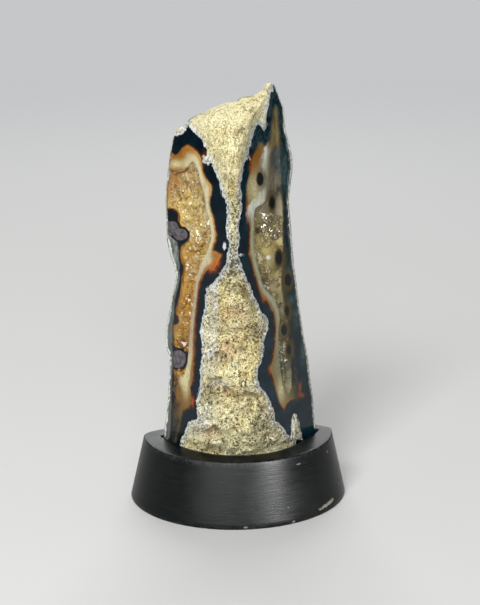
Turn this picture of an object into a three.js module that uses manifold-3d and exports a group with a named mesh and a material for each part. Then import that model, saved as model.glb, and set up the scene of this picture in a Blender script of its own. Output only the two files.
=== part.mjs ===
// Agate geode standing on a black wooden stand, in millimetres.
// X runs to the right and Y away from the viewer, Z is up, and the origin is the centre of the stand's underside.

import * as THREE from 'three';
import { ParametricGeometry } from 'three/addons/geometries/ParametricGeometry.js';
import { mergeGeometries, mergeVertices } from 'three/addons/utils/BufferGeometryUtils.js';
import Module from 'manifold-3d';

const { clamp, degToRad, lerp, smoothstep } = THREE.MathUtils;

// Stand: a plan with a deep rounded front and a shallow rounded back that meet at its two ends
const STAND_HEIGHT = 39;
const STAND_WIDEST_Y = 16;
const STAND_BOTTOM = { halfWidth: 65.5, front: 52, back: 20 };
const STAND_TOP = { halfWidth: 57, front: 44.5, back: 14 };
const STAND_BEVEL = 0.8;
const STAND_OUTLINE_STEPS = 64;
const RECESS_DEPTH = 12;
const RECESS_PLAY = 0.9;
const RECESS_END_PLAY = 1.4;

// Clearance between pieces that touch in the real object
const GAP = 0.3;

// Stone: the sawn sole, the two polished cuts and the steps of its surface
const SOLE_LEVEL = STAND_HEIGHT - RECESS_DEPTH + GAP;
const LEFT_CUT = cutPlane(-1, 54, 4, new THREE.Vector3(-40.6, 7.9, 39));
const RIGHT_CUT = cutPlane(1, 50, 6, new THREE.Vector3(42.9, 10.1, 39));
const CUT_COLUMNS = 4;
const STRIP_COLUMNS = 10;
const STONE_COLUMNS = STRIP_COLUMNS + 2 * CUT_COLUMNS;
const STONE_ROWS = 44;

// Outlines of the cut faces as [height, x], from the foot upward. The strip between them is natural rind.
const LEFT_EDGE = profile([
  [39, -45], [59, -42.5], [72, -41.5], [87, -40.5], [95, -43], [108, -42], [124, -39.5], [132, -37], [139, -36],
  [144, -36.5], [153, -40], [173, -41], [190, -40.5], [209, -38], [218, -36.5], [222, -35]]);
const STRIP_LEFT = profile([
  [39, -36], [49, -32.5], [55, -31], [60, -25], [70, -26.5], [82, -24], [104, -23.5], [120, -22.5], [127, -21],
  [139, -19.5], [143, -16], [152, -12], [157, -10], [168, -8], [177, -9.5], [190, -9.5], [199, -12.5],
  [210, -18], [217, -19.5], [222, -23], [227.5, -29.5]]);
const STRIP_RIGHT = profile([
  [39, 33], [44, 29.5], [53, 23.5], [59, 19], [65, 18], [71, 16], [78, 13], [84, 8.5], [90, 7.5], [97, 10.5],
  [109, 12], [114, 14.5], [120, 15], [125, 10.5], [137, 5.5], [143, 4], [154, -0.5], [161, -3.5], [176, -3],
  [199, -1.5], [209, 1], [217, 4.5], [223, 6.5], [226, 12], [231, 15], [237, 16.5], [248.7, 19.5]]);
const RIGHT_EDGE = profile([
  [39, 47], [60, 45], [72, 43.5], [85, 42], [98, 39], [111, 37], [133, 34], [154, 31.5], [173, 30], [182, 29.5],
  [191, 31], [200, 32], [214, 30], [222, 27.5], [234, 26], [241, 23.5], [247, 21]]);
const STONE_BORDERS = [
  { line: LEFT_EDGE, top: 222, cut: LEFT_CUT },
  { line: STRIP_LEFT, top: 227.5, cut: LEFT_CUT },
  { line: STRIP_RIGHT, top: 248.7, cut: RIGHT_CUT },
  { line: RIGHT_EDGE, top: 247, cut: RIGHT_CUT }];

// Crest of the stone as [x, height], from the left shoulder up to the peak at the right
const CREST = profile([
  [-29.5, 227.5], [-24, 231], [-18.5, 232.5], [-15.5, 234.5], [-10, 237], [-2, 238.5], [3, 241], [10.5, 242.5],
  [13, 244], [15.5, 248], [17.5, 249.3], [19.5, 248.7]]);

// How far the rind stands out from the chord between its borders, as [height, distance]
const STRIP_BULGE = profile([
  [27, 15], [39, 17], [50, 16.5], [62, 14], [80, 10.5], [100, 9], [140, 7.5], [165, 2.5], [185, 2], [200, 4.5],
  [212, 7.5], [240, 7.5]]);
const STRIP_ROUNDNESS = 2.4;
const BACK_BULGE = profile([[27, 7.5], [60, 9], [150, 10], [200, 9], [225, 6.5], [245, 4]]);
const BACK_ROUNDNESS = 2.4;
const CREST_ROUNDING = 0.1;
const CREST_BLEND_FROM = 0.75;
const BULGE_FADE_FROM = 0.88;

// Lumps and dents of the rind: place, radius and rise, with a dent negative
const RIND_FEATURES = [
  { x: -25, z: 47, radius: 9, rise: 1.6 }, { x: -18, z: 40, radius: 7, rise: -4.5 },
  { x: 4, z: 52, radius: 17, rise: 2.2 }, { x: 24, z: 47, radius: 8, rise: 2 },
  { x: 5, z: 74, radius: 5, rise: -3.5 }, { x: -12, z: 70, radius: 8, rise: 2.2 },
  { x: -14, z: 96, radius: 6, rise: -1.8 }, { x: -8, z: 118, radius: 10, rise: 1.8 },
  { x: 6, z: 112, radius: 6, rise: 1.2 }, { x: -6, z: 138, radius: 6, rise: -1.4 },
  { x: -8, z: 214, radius: 9, rise: 1.6 }, { x: 6, z: 230, radius: 7, rise: 1.2 }];
const BACK_FEATURES = [
  { x: -18, z: 70, radius: 16, rise: 2 }, { x: 16, z: 96, radius: 14, rise: -2 },
  { x: -8, z: 132, radius: 18, rise: 2.2 }, { x: 14, z: 168, radius: 13, rise: 1.8 },
  { x: -20, z: 190, radius: 12, rise: -2 }];
const RIND_ROUGHNESS = 0.9;
const ROUGH_STRIP_WIDTH = 25;
const BACK_ROUGHNESS = 1.2;
const BACK_SWELLS = { across: 0.31, up: 0.19, bendAcross: 0.11, bendUp: 0.13 };
const ROUGH_FROM = 41;
const ROUGH_FULL_FROM = 46;

// Hollows in the cut faces as rows of [height, left x, right x], from the top down
const LEFT_HOLLOW = [
  [206.5, -27, -25], [200, -37, -23], [190, -39, -20.5], [178, -39.5, -18.5], [174, -34.5, -17.5],
  [166, -28.5, -17.5], [155, -32.5, -21], [144, -31, -25], [126, -33.5, -27.5], [101, -38, -30],
  [95, -33.5, -30.5], [91, -33, -31], [85, -36, -32], [77, -36, -34]];
const RIGHT_HOLLOW = [
  [214, 19, 21.5], [207, 17.5, 24], [190, 15, 25], [185, 9, 25], [170, 6.5, 24.5], [154, 8, 21.5],
  [140, 12.5, 23.5], [128, 19.5, 25], [115, 22.5, 26.5], [92, 22.5, 29], [76, 25, 28]];
const HOLLOW_DEPTH = 6.5;
const HOLLOW_DEPTH_SHARE = 0.36;
const HOLLOW_WALL = [[1, 0], [0.82, 0.6], [0.5, 1], [-0.5, 1], [-0.82, 0.6], [-1, 0]];
const CUTTER_REACH = 3;
const THINNEST = 0.15;

// Crystals: a thin lining with short six-sided points on it, out of line and of unequal size
const LINING_THICKNESS = 1.3;
const CRUST_GAP = 0.4;
const CRYSTAL_STEP = 6.8;
const CRYSTAL_ROW_STEP = 6.2;
const CRYSTAL_END_MARGIN = 2;
const CRYSTAL_RADIUS = 2.7;
const CRYSTAL_LENGTH = 3.6;
const CRYSTAL_ROOT = 1;
const CRYSTAL_SHOULDER = { radius: 0.92, height: 0.45 };
const CRYSTAL_TILT = 0.5;
const CRYSTAL_WANDER = 0.3;
const CRYSTAL_SIZE_SPREAD = 0.3;
const CRYSTAL_MARGIN = 1.6;
const CRYSTAL_FULL_DEPTH = 4;
const BOWL_FLOOR_SHARE = 0.5;
const BOWL_RIM_DEPTH = 0.45;

const wasm = await Module();
wasm.setup();

// Piecewise linear curve through rising [position, value] pairs, level beyond both ends
function profile(points) {
  return position => {
    if (position <= points[0][0]) return points[0][1];
    const end = points.findIndex(point => point[0] >= position);
    if (end < 0) return points.at(-1)[1];
    const [[x0, y0], [x1, y1]] = [points[end - 1], points[end]];
    return lerp(y0, y1, (position - x0) / (x1 - x0));
  };
}

// Plane of a saw cut, turned to one side of the viewer and leaning back by the given degrees
function cutPlane(side, turn, lean, point) {
  const turned = degToRad(turn);
  const leaned = degToRad(lean);
  const normal = new THREE.Vector3(
    side * Math.sin(turned) * Math.cos(leaned), -Math.cos(turned) * Math.cos(leaned), Math.sin(leaned));
  return new THREE.Plane().setFromNormalAndCoplanarPoint(normal, point);
}

function pointOnCut(cut, x, z) {
  return new THREE.Vector3(x, -(cut.constant + cut.normal.x * x + cut.normal.z * z) / cut.normal.y, z);
}

// Repeatable value from -1 to 1 for a pair of numbers, from the far digits of a steep sine
function scatter(a, b) {
  const wave = Math.sin(a * 127.1 + b * 311.7) * 43758.5453;
  return 2 * (wave - Math.floor(wave)) - 1;
}

// Uneven swells from -1 to 1
function waves(x, z) {
  const { across, up, bendAcross, bendUp } = BACK_SWELLS;
  return Math.sin(across * x + Math.sin(bendUp * z)) * Math.sin(up * z + 2 * Math.sin(bendAcross * x));
}

function featureRise(features, x, z) {
  return features.reduce((sum, feature) => {
    const reach = Math.hypot(x - feature.x, z - feature.z) / feature.radius;
    return sum + feature.rise * Math.exp(-2 * reach * reach);
  }, 0);
}

// Solids from lists of vertices

function toManifold(geometry) {
  const bare = geometry.clone();
  bare.deleteAttribute('normal');
  bare.deleteAttribute('uv');
  const merged = mergeVertices(bare, 1e-4);
  const triangles = [];
  for (let i = 0; i < merged.index.count; i += 3) {
    const corners = [0, 1, 2].map(corner => merged.index.getX(i + corner));
    if (new Set(corners).size === 3) triangles.push(...corners);
  }
  return new wasm.Manifold(new wasm.Mesh({
    numProp: 3,
    vertProperties: new Float32Array(merged.attributes.position.array),
    triVerts: new Uint32Array(triangles),
  }));
}

function toGeometry(solid) {
  const { vertProperties, triVerts } = solid.getMesh();
  const geometry = new THREE.BufferGeometry();
  geometry.setAttribute('position', new THREE.BufferAttribute(vertProperties, 3));
  geometry.setIndex(new THREE.BufferAttribute(triVerts, 1));
  geometry.computeVertexNormals();
  return geometry;
}

// Closed solid through rings of equal length, with a fan over the first and the last one. The rings are
// counterclockwise seen from the end of the last one.
function loft(rings) {
  const count = rings[0].length;
  const centre = ring => ring.reduce((sum, p) => sum.add(p), new THREE.Vector3()).divideScalar(count);
  const points = [...rings.flat(), centre(rings[0]), centre(rings.at(-1))];
  const firstCentre = points.length - 2;
  const lastRing = (rings.length - 1) * count;
  const indices = [];
  for (let i = 0; i < count; i++) {
    const next = (i + 1) % count;
    for (let ring = 0; ring < lastRing; ring += count) {
      indices.push(ring + i, ring + next, ring + count + next, ring + i, ring + count + next, ring + count + i);
    }
    indices.push(firstCentre, next, i, firstCentre + 1, lastRing + i, lastRing + next);
  }
  const geometry = new THREE.BufferGeometry().setFromPoints(points);
  geometry.setIndex(indices);
  return toManifold(geometry);
}

// Stone

function stoneBorders(v) {
  return STONE_BORDERS.map(({ line, top, cut }) => {
    const z = lerp(SOLE_LEVEL, top, v);
    return pointOnCut(cut, line(z), z);
  });
}

// Front surface at column u and row v: a cut face, the rind strip, and the other cut face
function frontPoint(u, v, target) {
  const column = Math.round(u * STONE_COLUMNS);
  const spans = [0, CUT_COLUMNS, CUT_COLUMNS + STRIP_COLUMNS, STONE_COLUMNS];
  const span = spans.findIndex((start, i) => column <= spans[i + 1]);
  const across = (column - spans[span]) / (spans[span + 1] - spans[span]);
  const borders = stoneBorders(v);
  target.lerpVectors(borders[span], borders[span + 1], across);
  if (span !== 1) return target;
  target.z += (CREST(target.x) - target.z) * smoothstep(v, CREST_BLEND_FROM, 1);
  const arch = 1 - Math.abs(2 * across - 1) ** STRIP_ROUNDNESS;
  const below = 1 - smoothstep(v, BULGE_FADE_FROM, 1);
  const natural = smoothstep(target.z, ROUGH_FROM, ROUGH_FULL_FROM);
  const room = Math.min(1, (borders[2].x - borders[1].x) / ROUGH_STRIP_WIDTH);
  const rough = natural * room * RIND_ROUGHNESS * scatter(column, v * STONE_ROWS);
  const relief = arch * featureRise(RIND_FEATURES, target.x, target.z) + Math.sqrt(arch) * rough;
  target.y -= below * (arch * STRIP_BULGE(target.z) + relief);
  return target;
}

// Back surface behind the same columns and rows, which meets the front along the sides and the crest
function backPoint(u, v, target) {
  const [left, , , right] = stoneBorders(v);
  frontPoint(u, v, target);
  const across = clamp((target.x - left.x) / (right.x - left.x), 0, 1);
  const arch = 1 - Math.abs(2 * across - 1) ** BACK_ROUNDNESS;
  const natural = smoothstep(target.z, ROUGH_FROM, ROUGH_FULL_FROM);
  const rough = BACK_ROUGHNESS * waves(target.x, target.z);
  const relief = natural * (featureRise(BACK_FEATURES, target.x, target.z) + rough);
  const rear = lerp(left.y, right.y, across) + arch * (BACK_BULGE(target.z) + relief);
  const toCrest = clamp((v - 1 + CREST_ROUNDING) / CREST_ROUNDING, 0, 1);
  target.y += (rear - target.y) * Math.sqrt(1 - toCrest ** 2);
  return target;
}

function solePoint(u, v, target) {
  const front = frontPoint(u, 0, new THREE.Vector3());
  const back = backPoint(u, 0, new THREE.Vector3());
  return target.lerpVectors(back, front, v);
}

// Horizontal section of the stone at row v, counterclockwise seen from above
function stoneSection(v) {
  const columns = Array.from({ length: STONE_COLUMNS + 1 }, (_, i) => i / STONE_COLUMNS);
  const front = columns.map(u => frontPoint(u, v, new THREE.Vector3()));
  const back = columns.slice(1, -1).reverse().map(u => backPoint(u, v, new THREE.Vector3()));
  return [...front, ...back];
}

function uncutStone() {
  const front = new ParametricGeometry(frontPoint, STONE_COLUMNS, STONE_ROWS);
  const mirrored = (u, v, target) => backPoint(1 - u, v, target);
  const back = new ParametricGeometry(mirrored, STONE_COLUMNS, STONE_ROWS);
  const sole = new ParametricGeometry(solePoint, STONE_COLUMNS, 1);
  return toManifold(mergeGeometries([front, back, sole]));
}

// Hollows and their crystals

// Frame of a row of a hollow: its middle on the cut face, its half width and its depth
function hollowRow(cut, [height, leftX, rightX], inset) {
  const left = pointOnCut(cut, leftX, height);
  const right = pointOnCut(cut, rightX, height);
  const halfWidth = left.distanceTo(right) / 2;
  const depth = Math.min(HOLLOW_DEPTH, 2 * halfWidth * HOLLOW_DEPTH_SHARE);
  return {
    middle: left.clone().lerp(right, 0.5),
    across: right.sub(left).normalize(),
    halfWidth: Math.max(halfWidth - inset, THINNEST),
    depth: Math.max(depth - inset, THINNEST),
  };
}

// Solid of a hollow's form, inset from its walls and floor, up to the cut face or reaching out past it
function hollowSolid(cut, rows, inset, reach) {
  const ends = { 0: -inset, [rows.length - 1]: inset };
  const rings = rows.map(([height, ...sides], i) => {
    const row = hollowRow(cut, [height + (ends[i] ?? 0), ...sides], inset);
    const at = (share, out) => row.middle.clone()
      .addScaledVector(row.across, share * row.halfWidth).addScaledVector(cut.normal, out);
    const wall = HOLLOW_WALL.map(([share, deep]) => at(share, -deep * row.depth));
    return reach > 0 ? [at(1, reach), ...wall, at(-1, reach)] : wall;
  });
  return loft(rings.reverse());
}

// Six-sided crystal standing on the origin along Z
function crystalGeometry(radius, length) {
  const shoulder = [radius * CRYSTAL_SHOULDER.radius, length * CRYSTAL_SHOULDER.height];
  const outline = [[0, -CRYSTAL_ROOT], [radius, -CRYSTAL_ROOT], shoulder, [0, length]];
  const point = new THREE.LatheGeometry(outline.map(([r, z]) => new THREE.Vector2(r, z)), 6);
  return point.rotateX(Math.PI / 2);
}

// Crystals over the floor of a hollow, in staggered rows, each a little out of line with its neighbours
function crystalSolids(cut, rows) {
  const heights = rows.map(row => row[0]).reverse();
  const leftSide = profile(rows.map(row => [row[0], row[1]]).reverse());
  const rightSide = profile(rows.map(row => [row[0], row[2]]).reverse());
  const crystals = [];
  const top = heights.at(-1) - CRYSTAL_END_MARGIN;
  for (let z = heights[0] + CRYSTAL_END_MARGIN; z < top; z += CRYSTAL_ROW_STEP) {
    const row = hollowRow(cut, [z, leftSide(z), rightSide(z)], LINING_THICKNESS + CRUST_GAP);
    const span = Math.max(row.halfWidth - CRYSTAL_MARGIN, 0);
    const count = Math.max(1, Math.round(2 * span / CRYSTAL_STEP));
    for (let i = 0; i < count; i++) {
      const step = i + 0.5 + CRYSTAL_WANDER * scatter(z, i);
      const share = (2 * step / count - 1) * span / row.halfWidth;
      const upWall = clamp((Math.abs(share) - BOWL_FLOOR_SHARE) / (1 - BOWL_FLOOR_SHARE), 0, 1);
      const bowl = lerp(1, BOWL_RIM_DEPTH, upWall);
      const place = row.middle.clone().addScaledVector(row.across, share * row.halfWidth)
        .addScaledVector(cut.normal, -bowl * row.depth);
      const aim = cut.normal.clone().addScaledVector(row.across, CRYSTAL_TILT * scatter(i, z) - 0.5 * share);
      aim.z += CRYSTAL_TILT * scatter(z, i + 7);
      const room = Math.min(1, row.depth / CRYSTAL_FULL_DEPTH);
      const size = room * (1 + CRYSTAL_SIZE_SPREAD * scatter(i + 3, z));
      const crystal = crystalGeometry(CRYSTAL_RADIUS * size, CRYSTAL_LENGTH * size);
      crystal.applyQuaternion(new THREE.Quaternion().setFromUnitVectors(
        new THREE.Vector3(0, 0, 1), aim.normalize()));
      crystals.push(toManifold(crystal.translate(...place.toArray())));
    }
  }
  return crystals;
}

function crystalCrust(cut, rows) {
  const room = hollowSolid(cut, rows, CRUST_GAP, 0);
  const open = hollowSolid(cut, rows, CRUST_GAP + LINING_THICKNESS, CUTTER_REACH);
  const lining = room.subtract(open);
  return crystalSolids(cut, rows).reduce((crust, crystal) => crust.add(crystal), lining).intersect(room);
}

// Stand

function standRing(size, level, inset) {
  return Array.from({ length: STAND_OUTLINE_STEPS }, (_, i) => {
    const angle = 2 * Math.PI * i / STAND_OUTLINE_STEPS;
    const depth = (Math.sin(angle) < 0 ? size.front : size.back) - inset;
    return new THREE.Vector3(
      (size.halfWidth - inset) * Math.cos(angle), STAND_WIDEST_Y + depth * Math.sin(angle), level);
  });
}

function standBlock() {
  return loft([
    standRing(STAND_BOTTOM, 0, STAND_BEVEL),
    standRing(STAND_BOTTOM, STAND_BEVEL, 0),
    standRing(STAND_TOP, STAND_HEIGHT - STAND_BEVEL, 0),
    standRing(STAND_TOP, STAND_HEIGHT, STAND_BEVEL),
  ]);
}

// Straight-sided pocket around a section of the stone, looser at its two ends
function recessAround(section) {
  const rings = [STAND_HEIGHT - RECESS_DEPTH, STAND_HEIGHT + 1].map(level => section.map((point, i) => {
    const before = section.at(i - 1);
    const after = section[(i + 1) % section.length];
    const outward = new THREE.Vector2(after.y - before.y, before.x - after.x).normalize();
    const play = RECESS_PLAY + RECESS_END_PLAY * Math.abs(outward.x) ** 6;
    return new THREE.Vector3(point.x + play * outward.x, point.y + play * outward.y, level);
  }));
  return loft(rings);
}

function stand() {
  const rimRow = (STAND_HEIGHT - SOLE_LEVEL) / (STONE_BORDERS[1].top - SOLE_LEVEL);
  return standBlock().subtract(recessAround(stoneSection(0))).subtract(recessAround(stoneSection(rimRow)));
}

// Assembly

function piece(name, solid, color, roughness) {
  const material = new THREE.MeshStandardMaterial({ color, roughness, metalness: 0 });
  const mesh = new THREE.Mesh(toGeometry(solid), material);
  mesh.name = name;
  return mesh;
}

function stone() {
  return uncutStone()
    .subtract(hollowSolid(LEFT_CUT, LEFT_HOLLOW, 0, CUTTER_REACH))
    .subtract(hollowSolid(RIGHT_CUT, RIGHT_HOLLOW, 0, CUTTER_REACH));
}

const object = new THREE.Group();
object.add(piece('geode', stone(), 0xb9a679, 0.8));
object.add(piece('left_crystals', crystalCrust(LEFT_CUT, LEFT_HOLLOW), 0xc8953c, 0.25));
object.add(piece('right_crystals', crystalCrust(RIGHT_CUT, RIGHT_HOLLOW), 0x9a8a5e, 0.25));
object.add(piece('stand', stand(), 0x0e0e10, 0.3));

export default object;
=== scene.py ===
"""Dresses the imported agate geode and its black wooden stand, in metres, around the fixed CAD frame."""

import logging
import math
import random
from dataclasses import dataclass
from enum import Enum
from functools import reduce

import bmesh
import bpy
import numpy as np
from mathutils import Matrix, Vector, noise

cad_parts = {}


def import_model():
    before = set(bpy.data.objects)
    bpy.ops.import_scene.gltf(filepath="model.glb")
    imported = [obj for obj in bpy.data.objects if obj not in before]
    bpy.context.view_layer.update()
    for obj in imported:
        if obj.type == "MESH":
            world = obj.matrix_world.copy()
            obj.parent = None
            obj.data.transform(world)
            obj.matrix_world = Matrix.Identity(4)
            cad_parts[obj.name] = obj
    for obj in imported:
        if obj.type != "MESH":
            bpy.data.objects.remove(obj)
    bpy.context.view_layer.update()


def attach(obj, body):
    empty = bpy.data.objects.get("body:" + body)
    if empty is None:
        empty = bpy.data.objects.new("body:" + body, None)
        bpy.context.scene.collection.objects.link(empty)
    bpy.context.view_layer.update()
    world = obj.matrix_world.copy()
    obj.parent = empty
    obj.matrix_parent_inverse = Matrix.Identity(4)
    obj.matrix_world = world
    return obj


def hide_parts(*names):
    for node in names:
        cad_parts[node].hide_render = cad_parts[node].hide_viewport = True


log = logging.getLogger("geode")

MM = 0.001
TINY = 1e-12
FLOAT, COLOUR, VECTOR = "NodeSocketFloat", "NodeSocketColor", "NodeSocketVector"
Socket = bpy.types.NodeSocket
Material = bpy.types.Material
Array = np.ndarray
Pair = tuple[float, float]
Triple = tuple[float, float, float]

# Outlines read in the photograph, in its pixels, from the top down

LEFT_EDGE = (
    (181, 126), (176, 130), (174, 134), (171.3, 145), (170, 153), (168, 170), (166.2, 185), (165.7, 200),
    (166.3, 215), (167, 240), (169, 250), (171.5, 259), (175.3, 268), (176.3, 277), (174.5, 287),
    (170.8, 299), (169.3, 312), (166.5, 325), (165.2, 337), (165.8, 346), (169, 354), (169.8, 365),
    (168.6, 385), (167.5, 405), (165, 425), (164.2, 435))
RIGHT_EDGE = (
    (275, 86), (279, 96), (283.5, 108), (284.5, 120), (285.5, 130), (289, 143), (292, 155), (292.8, 168),
    (290.7, 184), (288.7, 200), (290, 215), (291.6, 232), (292.6, 248), (294, 265), (296.5, 283),
    (298.5, 300), (301, 318), (304, 338), (308, 358), (310, 378), (312.8, 396), (313.8, 412), (315.5, 428))
RIND_LEFT = (
    (187, 126), (193, 131), (198, 136), (203, 140), (205, 147), (209, 153), (208, 160), (213, 167),
    (216, 175), (220, 183), (221, 192), (226, 202), (227.3, 212), (226, 226), (226.5, 234), (229, 243),
    (228.3, 252), (226, 262), (222, 270), (214, 282), (207, 287), (205, 297), (205, 308), (202, 318),
    (200, 331), (201.5, 345), (202, 357), (200, 370), (200.5, 382), (199, 391), (196, 400), (197, 411),
    (199, 418), (188, 422), (186, 430), (181, 439), (180, 445))
RIND_RIGHT_TONGUE = (
    (273, 91), (268.5, 99), (269, 106), (266.5, 117), (266.5, 127), (264, 131), (260, 125), (257, 123.5),
    (254, 129))
RIND_RIGHT_CREASE = ((273, 91), (270.5, 99), (268, 108), (265, 116), (260.5, 123), (256, 130))
RIND_RIGHT = (
    (252.5, 137), (249.5, 148), (248, 157), (244, 165), (242.5, 174), (240.3, 184), (241.5, 199), (242, 209),
    (239.5, 219), (238.3, 228), (239.8, 238), (238.3, 247), (238.5, 257), (243, 268), (246, 277),
    (250.5, 285), (253, 295), (258.5, 304), (261, 312), (268, 318), (268, 329), (264, 340), (263, 352),
    (262, 361), (258, 368), (257.2, 377), (259, 386), (266, 393), (270.5, 402), (274.5, 411), (275, 421),
    (282, 426), (286, 433), (291, 437), (296, 439))
RIND_FINGER = (
    (291, 440), (291, 430), (291.5, 420), (292, 416), (294, 414), (297, 415), (298, 419), (300, 425),
    (300.5, 430), (303, 440))
RIND_BUMP = (
    (173, 136), (176, 130), (179, 125), (184, 124), (187, 126), (186, 130), (182, 134), (178, 136))
RIND_PATCH = ((202, 155), (206, 156), (210, 160), (209, 166), (205, 163))
CREST = (
    (187, 122), (190, 119.5), (195, 117), (200, 115), (205, 114), (210, 110.5), (213, 108.5), (220, 106),
    (227, 103.5), (235, 103), (240, 99.5), (243, 98), (250, 97), (257, 95), (261, 93), (264, 89.5),
    (266, 85.5), (268, 83.5), (270, 82.7), (274, 84))
LEFT_AMBER = (
    (170.5, 152), (173, 154), (176, 155.5), (179, 153), (182, 148), (186, 145), (189, 144), (193, 147),
    (197, 150), (200, 153), (202, 157), (202.5, 163), (203.5, 170), (206, 176), (209, 181), (213, 185),
    (213.5, 190), (212, 195), (210.5, 198), (210, 205), (212, 212), (214.5, 217), (215.5, 222), (216.5, 229),
    (218, 234), (216.5, 241), (215, 246), (214, 250), (219, 252), (222, 254), (222, 257), (219, 262),
    (217, 267), (214, 273), (211, 271), (207, 271), (204, 276), (201.5, 283), (200, 290), (199, 300),
    (198, 310), (197, 320), (196, 330), (195.5, 340), (196, 350), (195.5, 356), (195, 363), (194.5, 370),
    (194, 378), (192.5, 386), (192, 392), (193, 398), (193.5, 404), (190, 408), (186, 410), (183, 413),
    (181, 418), (180, 425), (178, 433), (176, 442), (172, 442), (171.5, 430), (171.5, 420), (172, 412),
    (173, 402), (173, 395), (172.5, 385), (173, 375), (174, 369), (178, 368.5), (183, 367), (185.5, 362),
    (185.5, 357), (183, 353), (179, 350), (175, 346), (172, 343), (171.5, 337), (172.5, 330), (175, 322),
    (176.5, 317), (176, 310), (178, 303), (180, 296), (181, 290), (182, 283), (182, 277), (184, 270),
    (184, 266), (182, 262), (180.5, 256), (180, 251), (181, 247), (184, 244.5), (188, 241), (189, 237),
    (189, 232), (186, 229), (181, 228), (178, 224), (178.5, 218), (177, 213), (172, 210), (165, 209),
    (164.5, 200), (167, 175))
LEFT_HOLLOW = (
    (167.5, 169), (174, 171), (181, 170), (186, 167), (189, 163), (193, 161), (196, 165), (198, 171),
    (199.5, 178), (201, 184), (203, 190), (205, 196), (205.5, 203), (206, 210), (208, 216), (209, 222),
    (210.5, 229), (211, 235), (210.5, 241), (208.5, 247), (206.5, 252), (204, 257), (201, 263), (199, 269),
    (197, 275), (195.5, 282), (194.5, 290), (193.5, 300), (192.5, 308), (191.5, 316), (190.5, 325),
    (189.5, 335), (189, 345), (188.5, 352), (187, 362), (186, 368), (184, 376), (179, 376), (175.5, 372),
    (178, 369.5), (184, 367), (186.5, 362), (186.5, 357), (184, 352), (180, 349), (176, 345), (173.5, 342),
    (173, 337), (174, 330), (176.5, 322), (178, 317), (177.5, 310), (179.5, 303), (181.5, 296), (182.5, 290),
    (183.5, 283), (183.5, 277), (185.5, 270), (185.5, 265), (183.5, 261), (182, 256), (181.5, 251),
    (183, 248), (186, 245), (190, 241), (191, 236), (190.5, 231), (187, 227.5), (182, 226.5), (180, 223),
    (180, 217), (178, 211.5), (173, 208.5), (167, 207.5), (167, 190))
RIGHT_AMBER = (
    (275.5, 106), (274, 115), (273, 122), (272, 130), (271, 137), (270, 141), (267, 144), (264, 145),
    (260, 143), (258, 147), (255, 152), (252, 157), (251, 162), (250.5, 168), (249.5, 174), (247.5, 180),
    (246, 186), (246, 195), (246.5, 203), (247, 210), (247, 217), (248, 224), (248.5, 230), (248, 238),
    (248, 246), (248, 251), (247, 255), (249, 258), (250.5, 263), (252, 270), (254.5, 278), (257, 286),
    (259, 293), (261, 297), (266, 302), (269, 307), (272, 313), (274, 320), (274.5, 328), (274, 336),
    (273, 345), (272.5, 353), (271, 361), (269, 367), (268.5, 371), (271, 376), (273, 382), (275, 390),
    (277, 396), (279, 402), (281, 406), (283, 410), (284.5, 412), (286, 408), (288, 404), (291, 401),
    (295, 400), (299, 399), (303, 396), (299, 388), (297, 380), (295, 360), (293, 340), (289, 320),
    (287, 300), (284, 280), (286, 260), (283.5, 240), (284, 220), (283, 200), (281, 170), (282, 160),
    (281, 150), (279, 135), (277.5, 120), (276.5, 108))
RIGHT_HOLLOW = (
    (276, 145), (271, 152), (270, 158), (270.5, 165), (270, 170), (268.5, 176), (268, 184), (267.5, 192),
    (266, 200), (263, 204), (258, 206), (255, 209), (254.5, 215), (254.5, 222), (254, 228), (253.5, 235),
    (253.5, 242), (254, 248), (255, 254), (256, 260), (258, 267), (260, 273), (261, 280), (263, 285),
    (266, 290), (270, 294), (274, 299), (277, 305), (279, 311), (280, 318), (279.5, 326), (279, 334),
    (279, 342), (279, 350), (279.5, 358), (280, 366), (281, 374), (283, 384), (285, 392), (289, 394),
    (292, 388), (292, 372), (290, 355), (289, 340), (288.5, 325), (286, 310), (284, 300), (282, 290),
    (281.5, 280), (282, 270), (283, 250), (283, 230), (283, 210), (282, 190), (281, 170), (280, 155),
    (278.5, 147))

# Width of the pale rim that each cut face shows along its outer edge, as rows of pixel height and width
LEFT_RIM = (
    (150, 1), (210, 1), (235, 2), (242, 8), (250, 8), (270, 3), (290, 3), (310, 4), (320, 5), (340, 6),
    (350, 4), (360, 2.5), (385, 2.5), (400, 3), (430, 5))
RIGHT_RIM = (
    (90, 1.2), (120, 1.9), (150, 3), (175, 3.4), (200, 2.2), (230, 3.6), (260, 2.6), (330, 2), (430, 1.5))


@dataclass(frozen=True)
class Mark:
    """An oval of colour on the stone: its middle and half sizes in pixels of the photograph."""

    x: float
    y: float
    across: float
    up: float


def ovals(*sizes: tuple) -> tuple[Mark, ...]:
    """Returns a mark for each row of middle and half sizes."""
    return tuple(Mark(*size) for size in sizes)


DARK_SPOTS = ovals(
    (260, 179, 3.6, 7), (272, 203, 2.6, 6), (279, 258, 3.2, 6.8), (287, 311, 2.2, 5), (284, 330, 3, 5.5),
    (288, 280, 3.4, 6), (289, 350, 2.2, 5), (171, 215, 7, 6.5), (176, 320, 3, 5), (171, 338, 2.4, 4),
    (171, 378, 3.4, 9), (171.5, 398, 3.6, 7), (192, 388, 1.6, 3))
DARK_PATCHES = ovals(
    (279, 163, 6, 12), (287, 185, 4, 20), (289, 230, 4, 24), (291, 285, 4, 22), (296, 350, 5, 40),
    (272, 196, 4, 10), (170, 372, 3, 14), (172, 420, 3, 22), (170, 434, 9, 14), (280, 190, 3, 6),
    (304, 410, 5, 14), (174, 388, 5, 5), (176, 404, 4, 4), (290, 345, 4, 20))
GREY_LOBES = ovals((171, 228, 8, 7.5), (180.5, 234.5, 7, 6), (178, 359, 8, 9))
BROWN_HOLES = ovals((263, 231, 6.5, 3))
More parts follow.
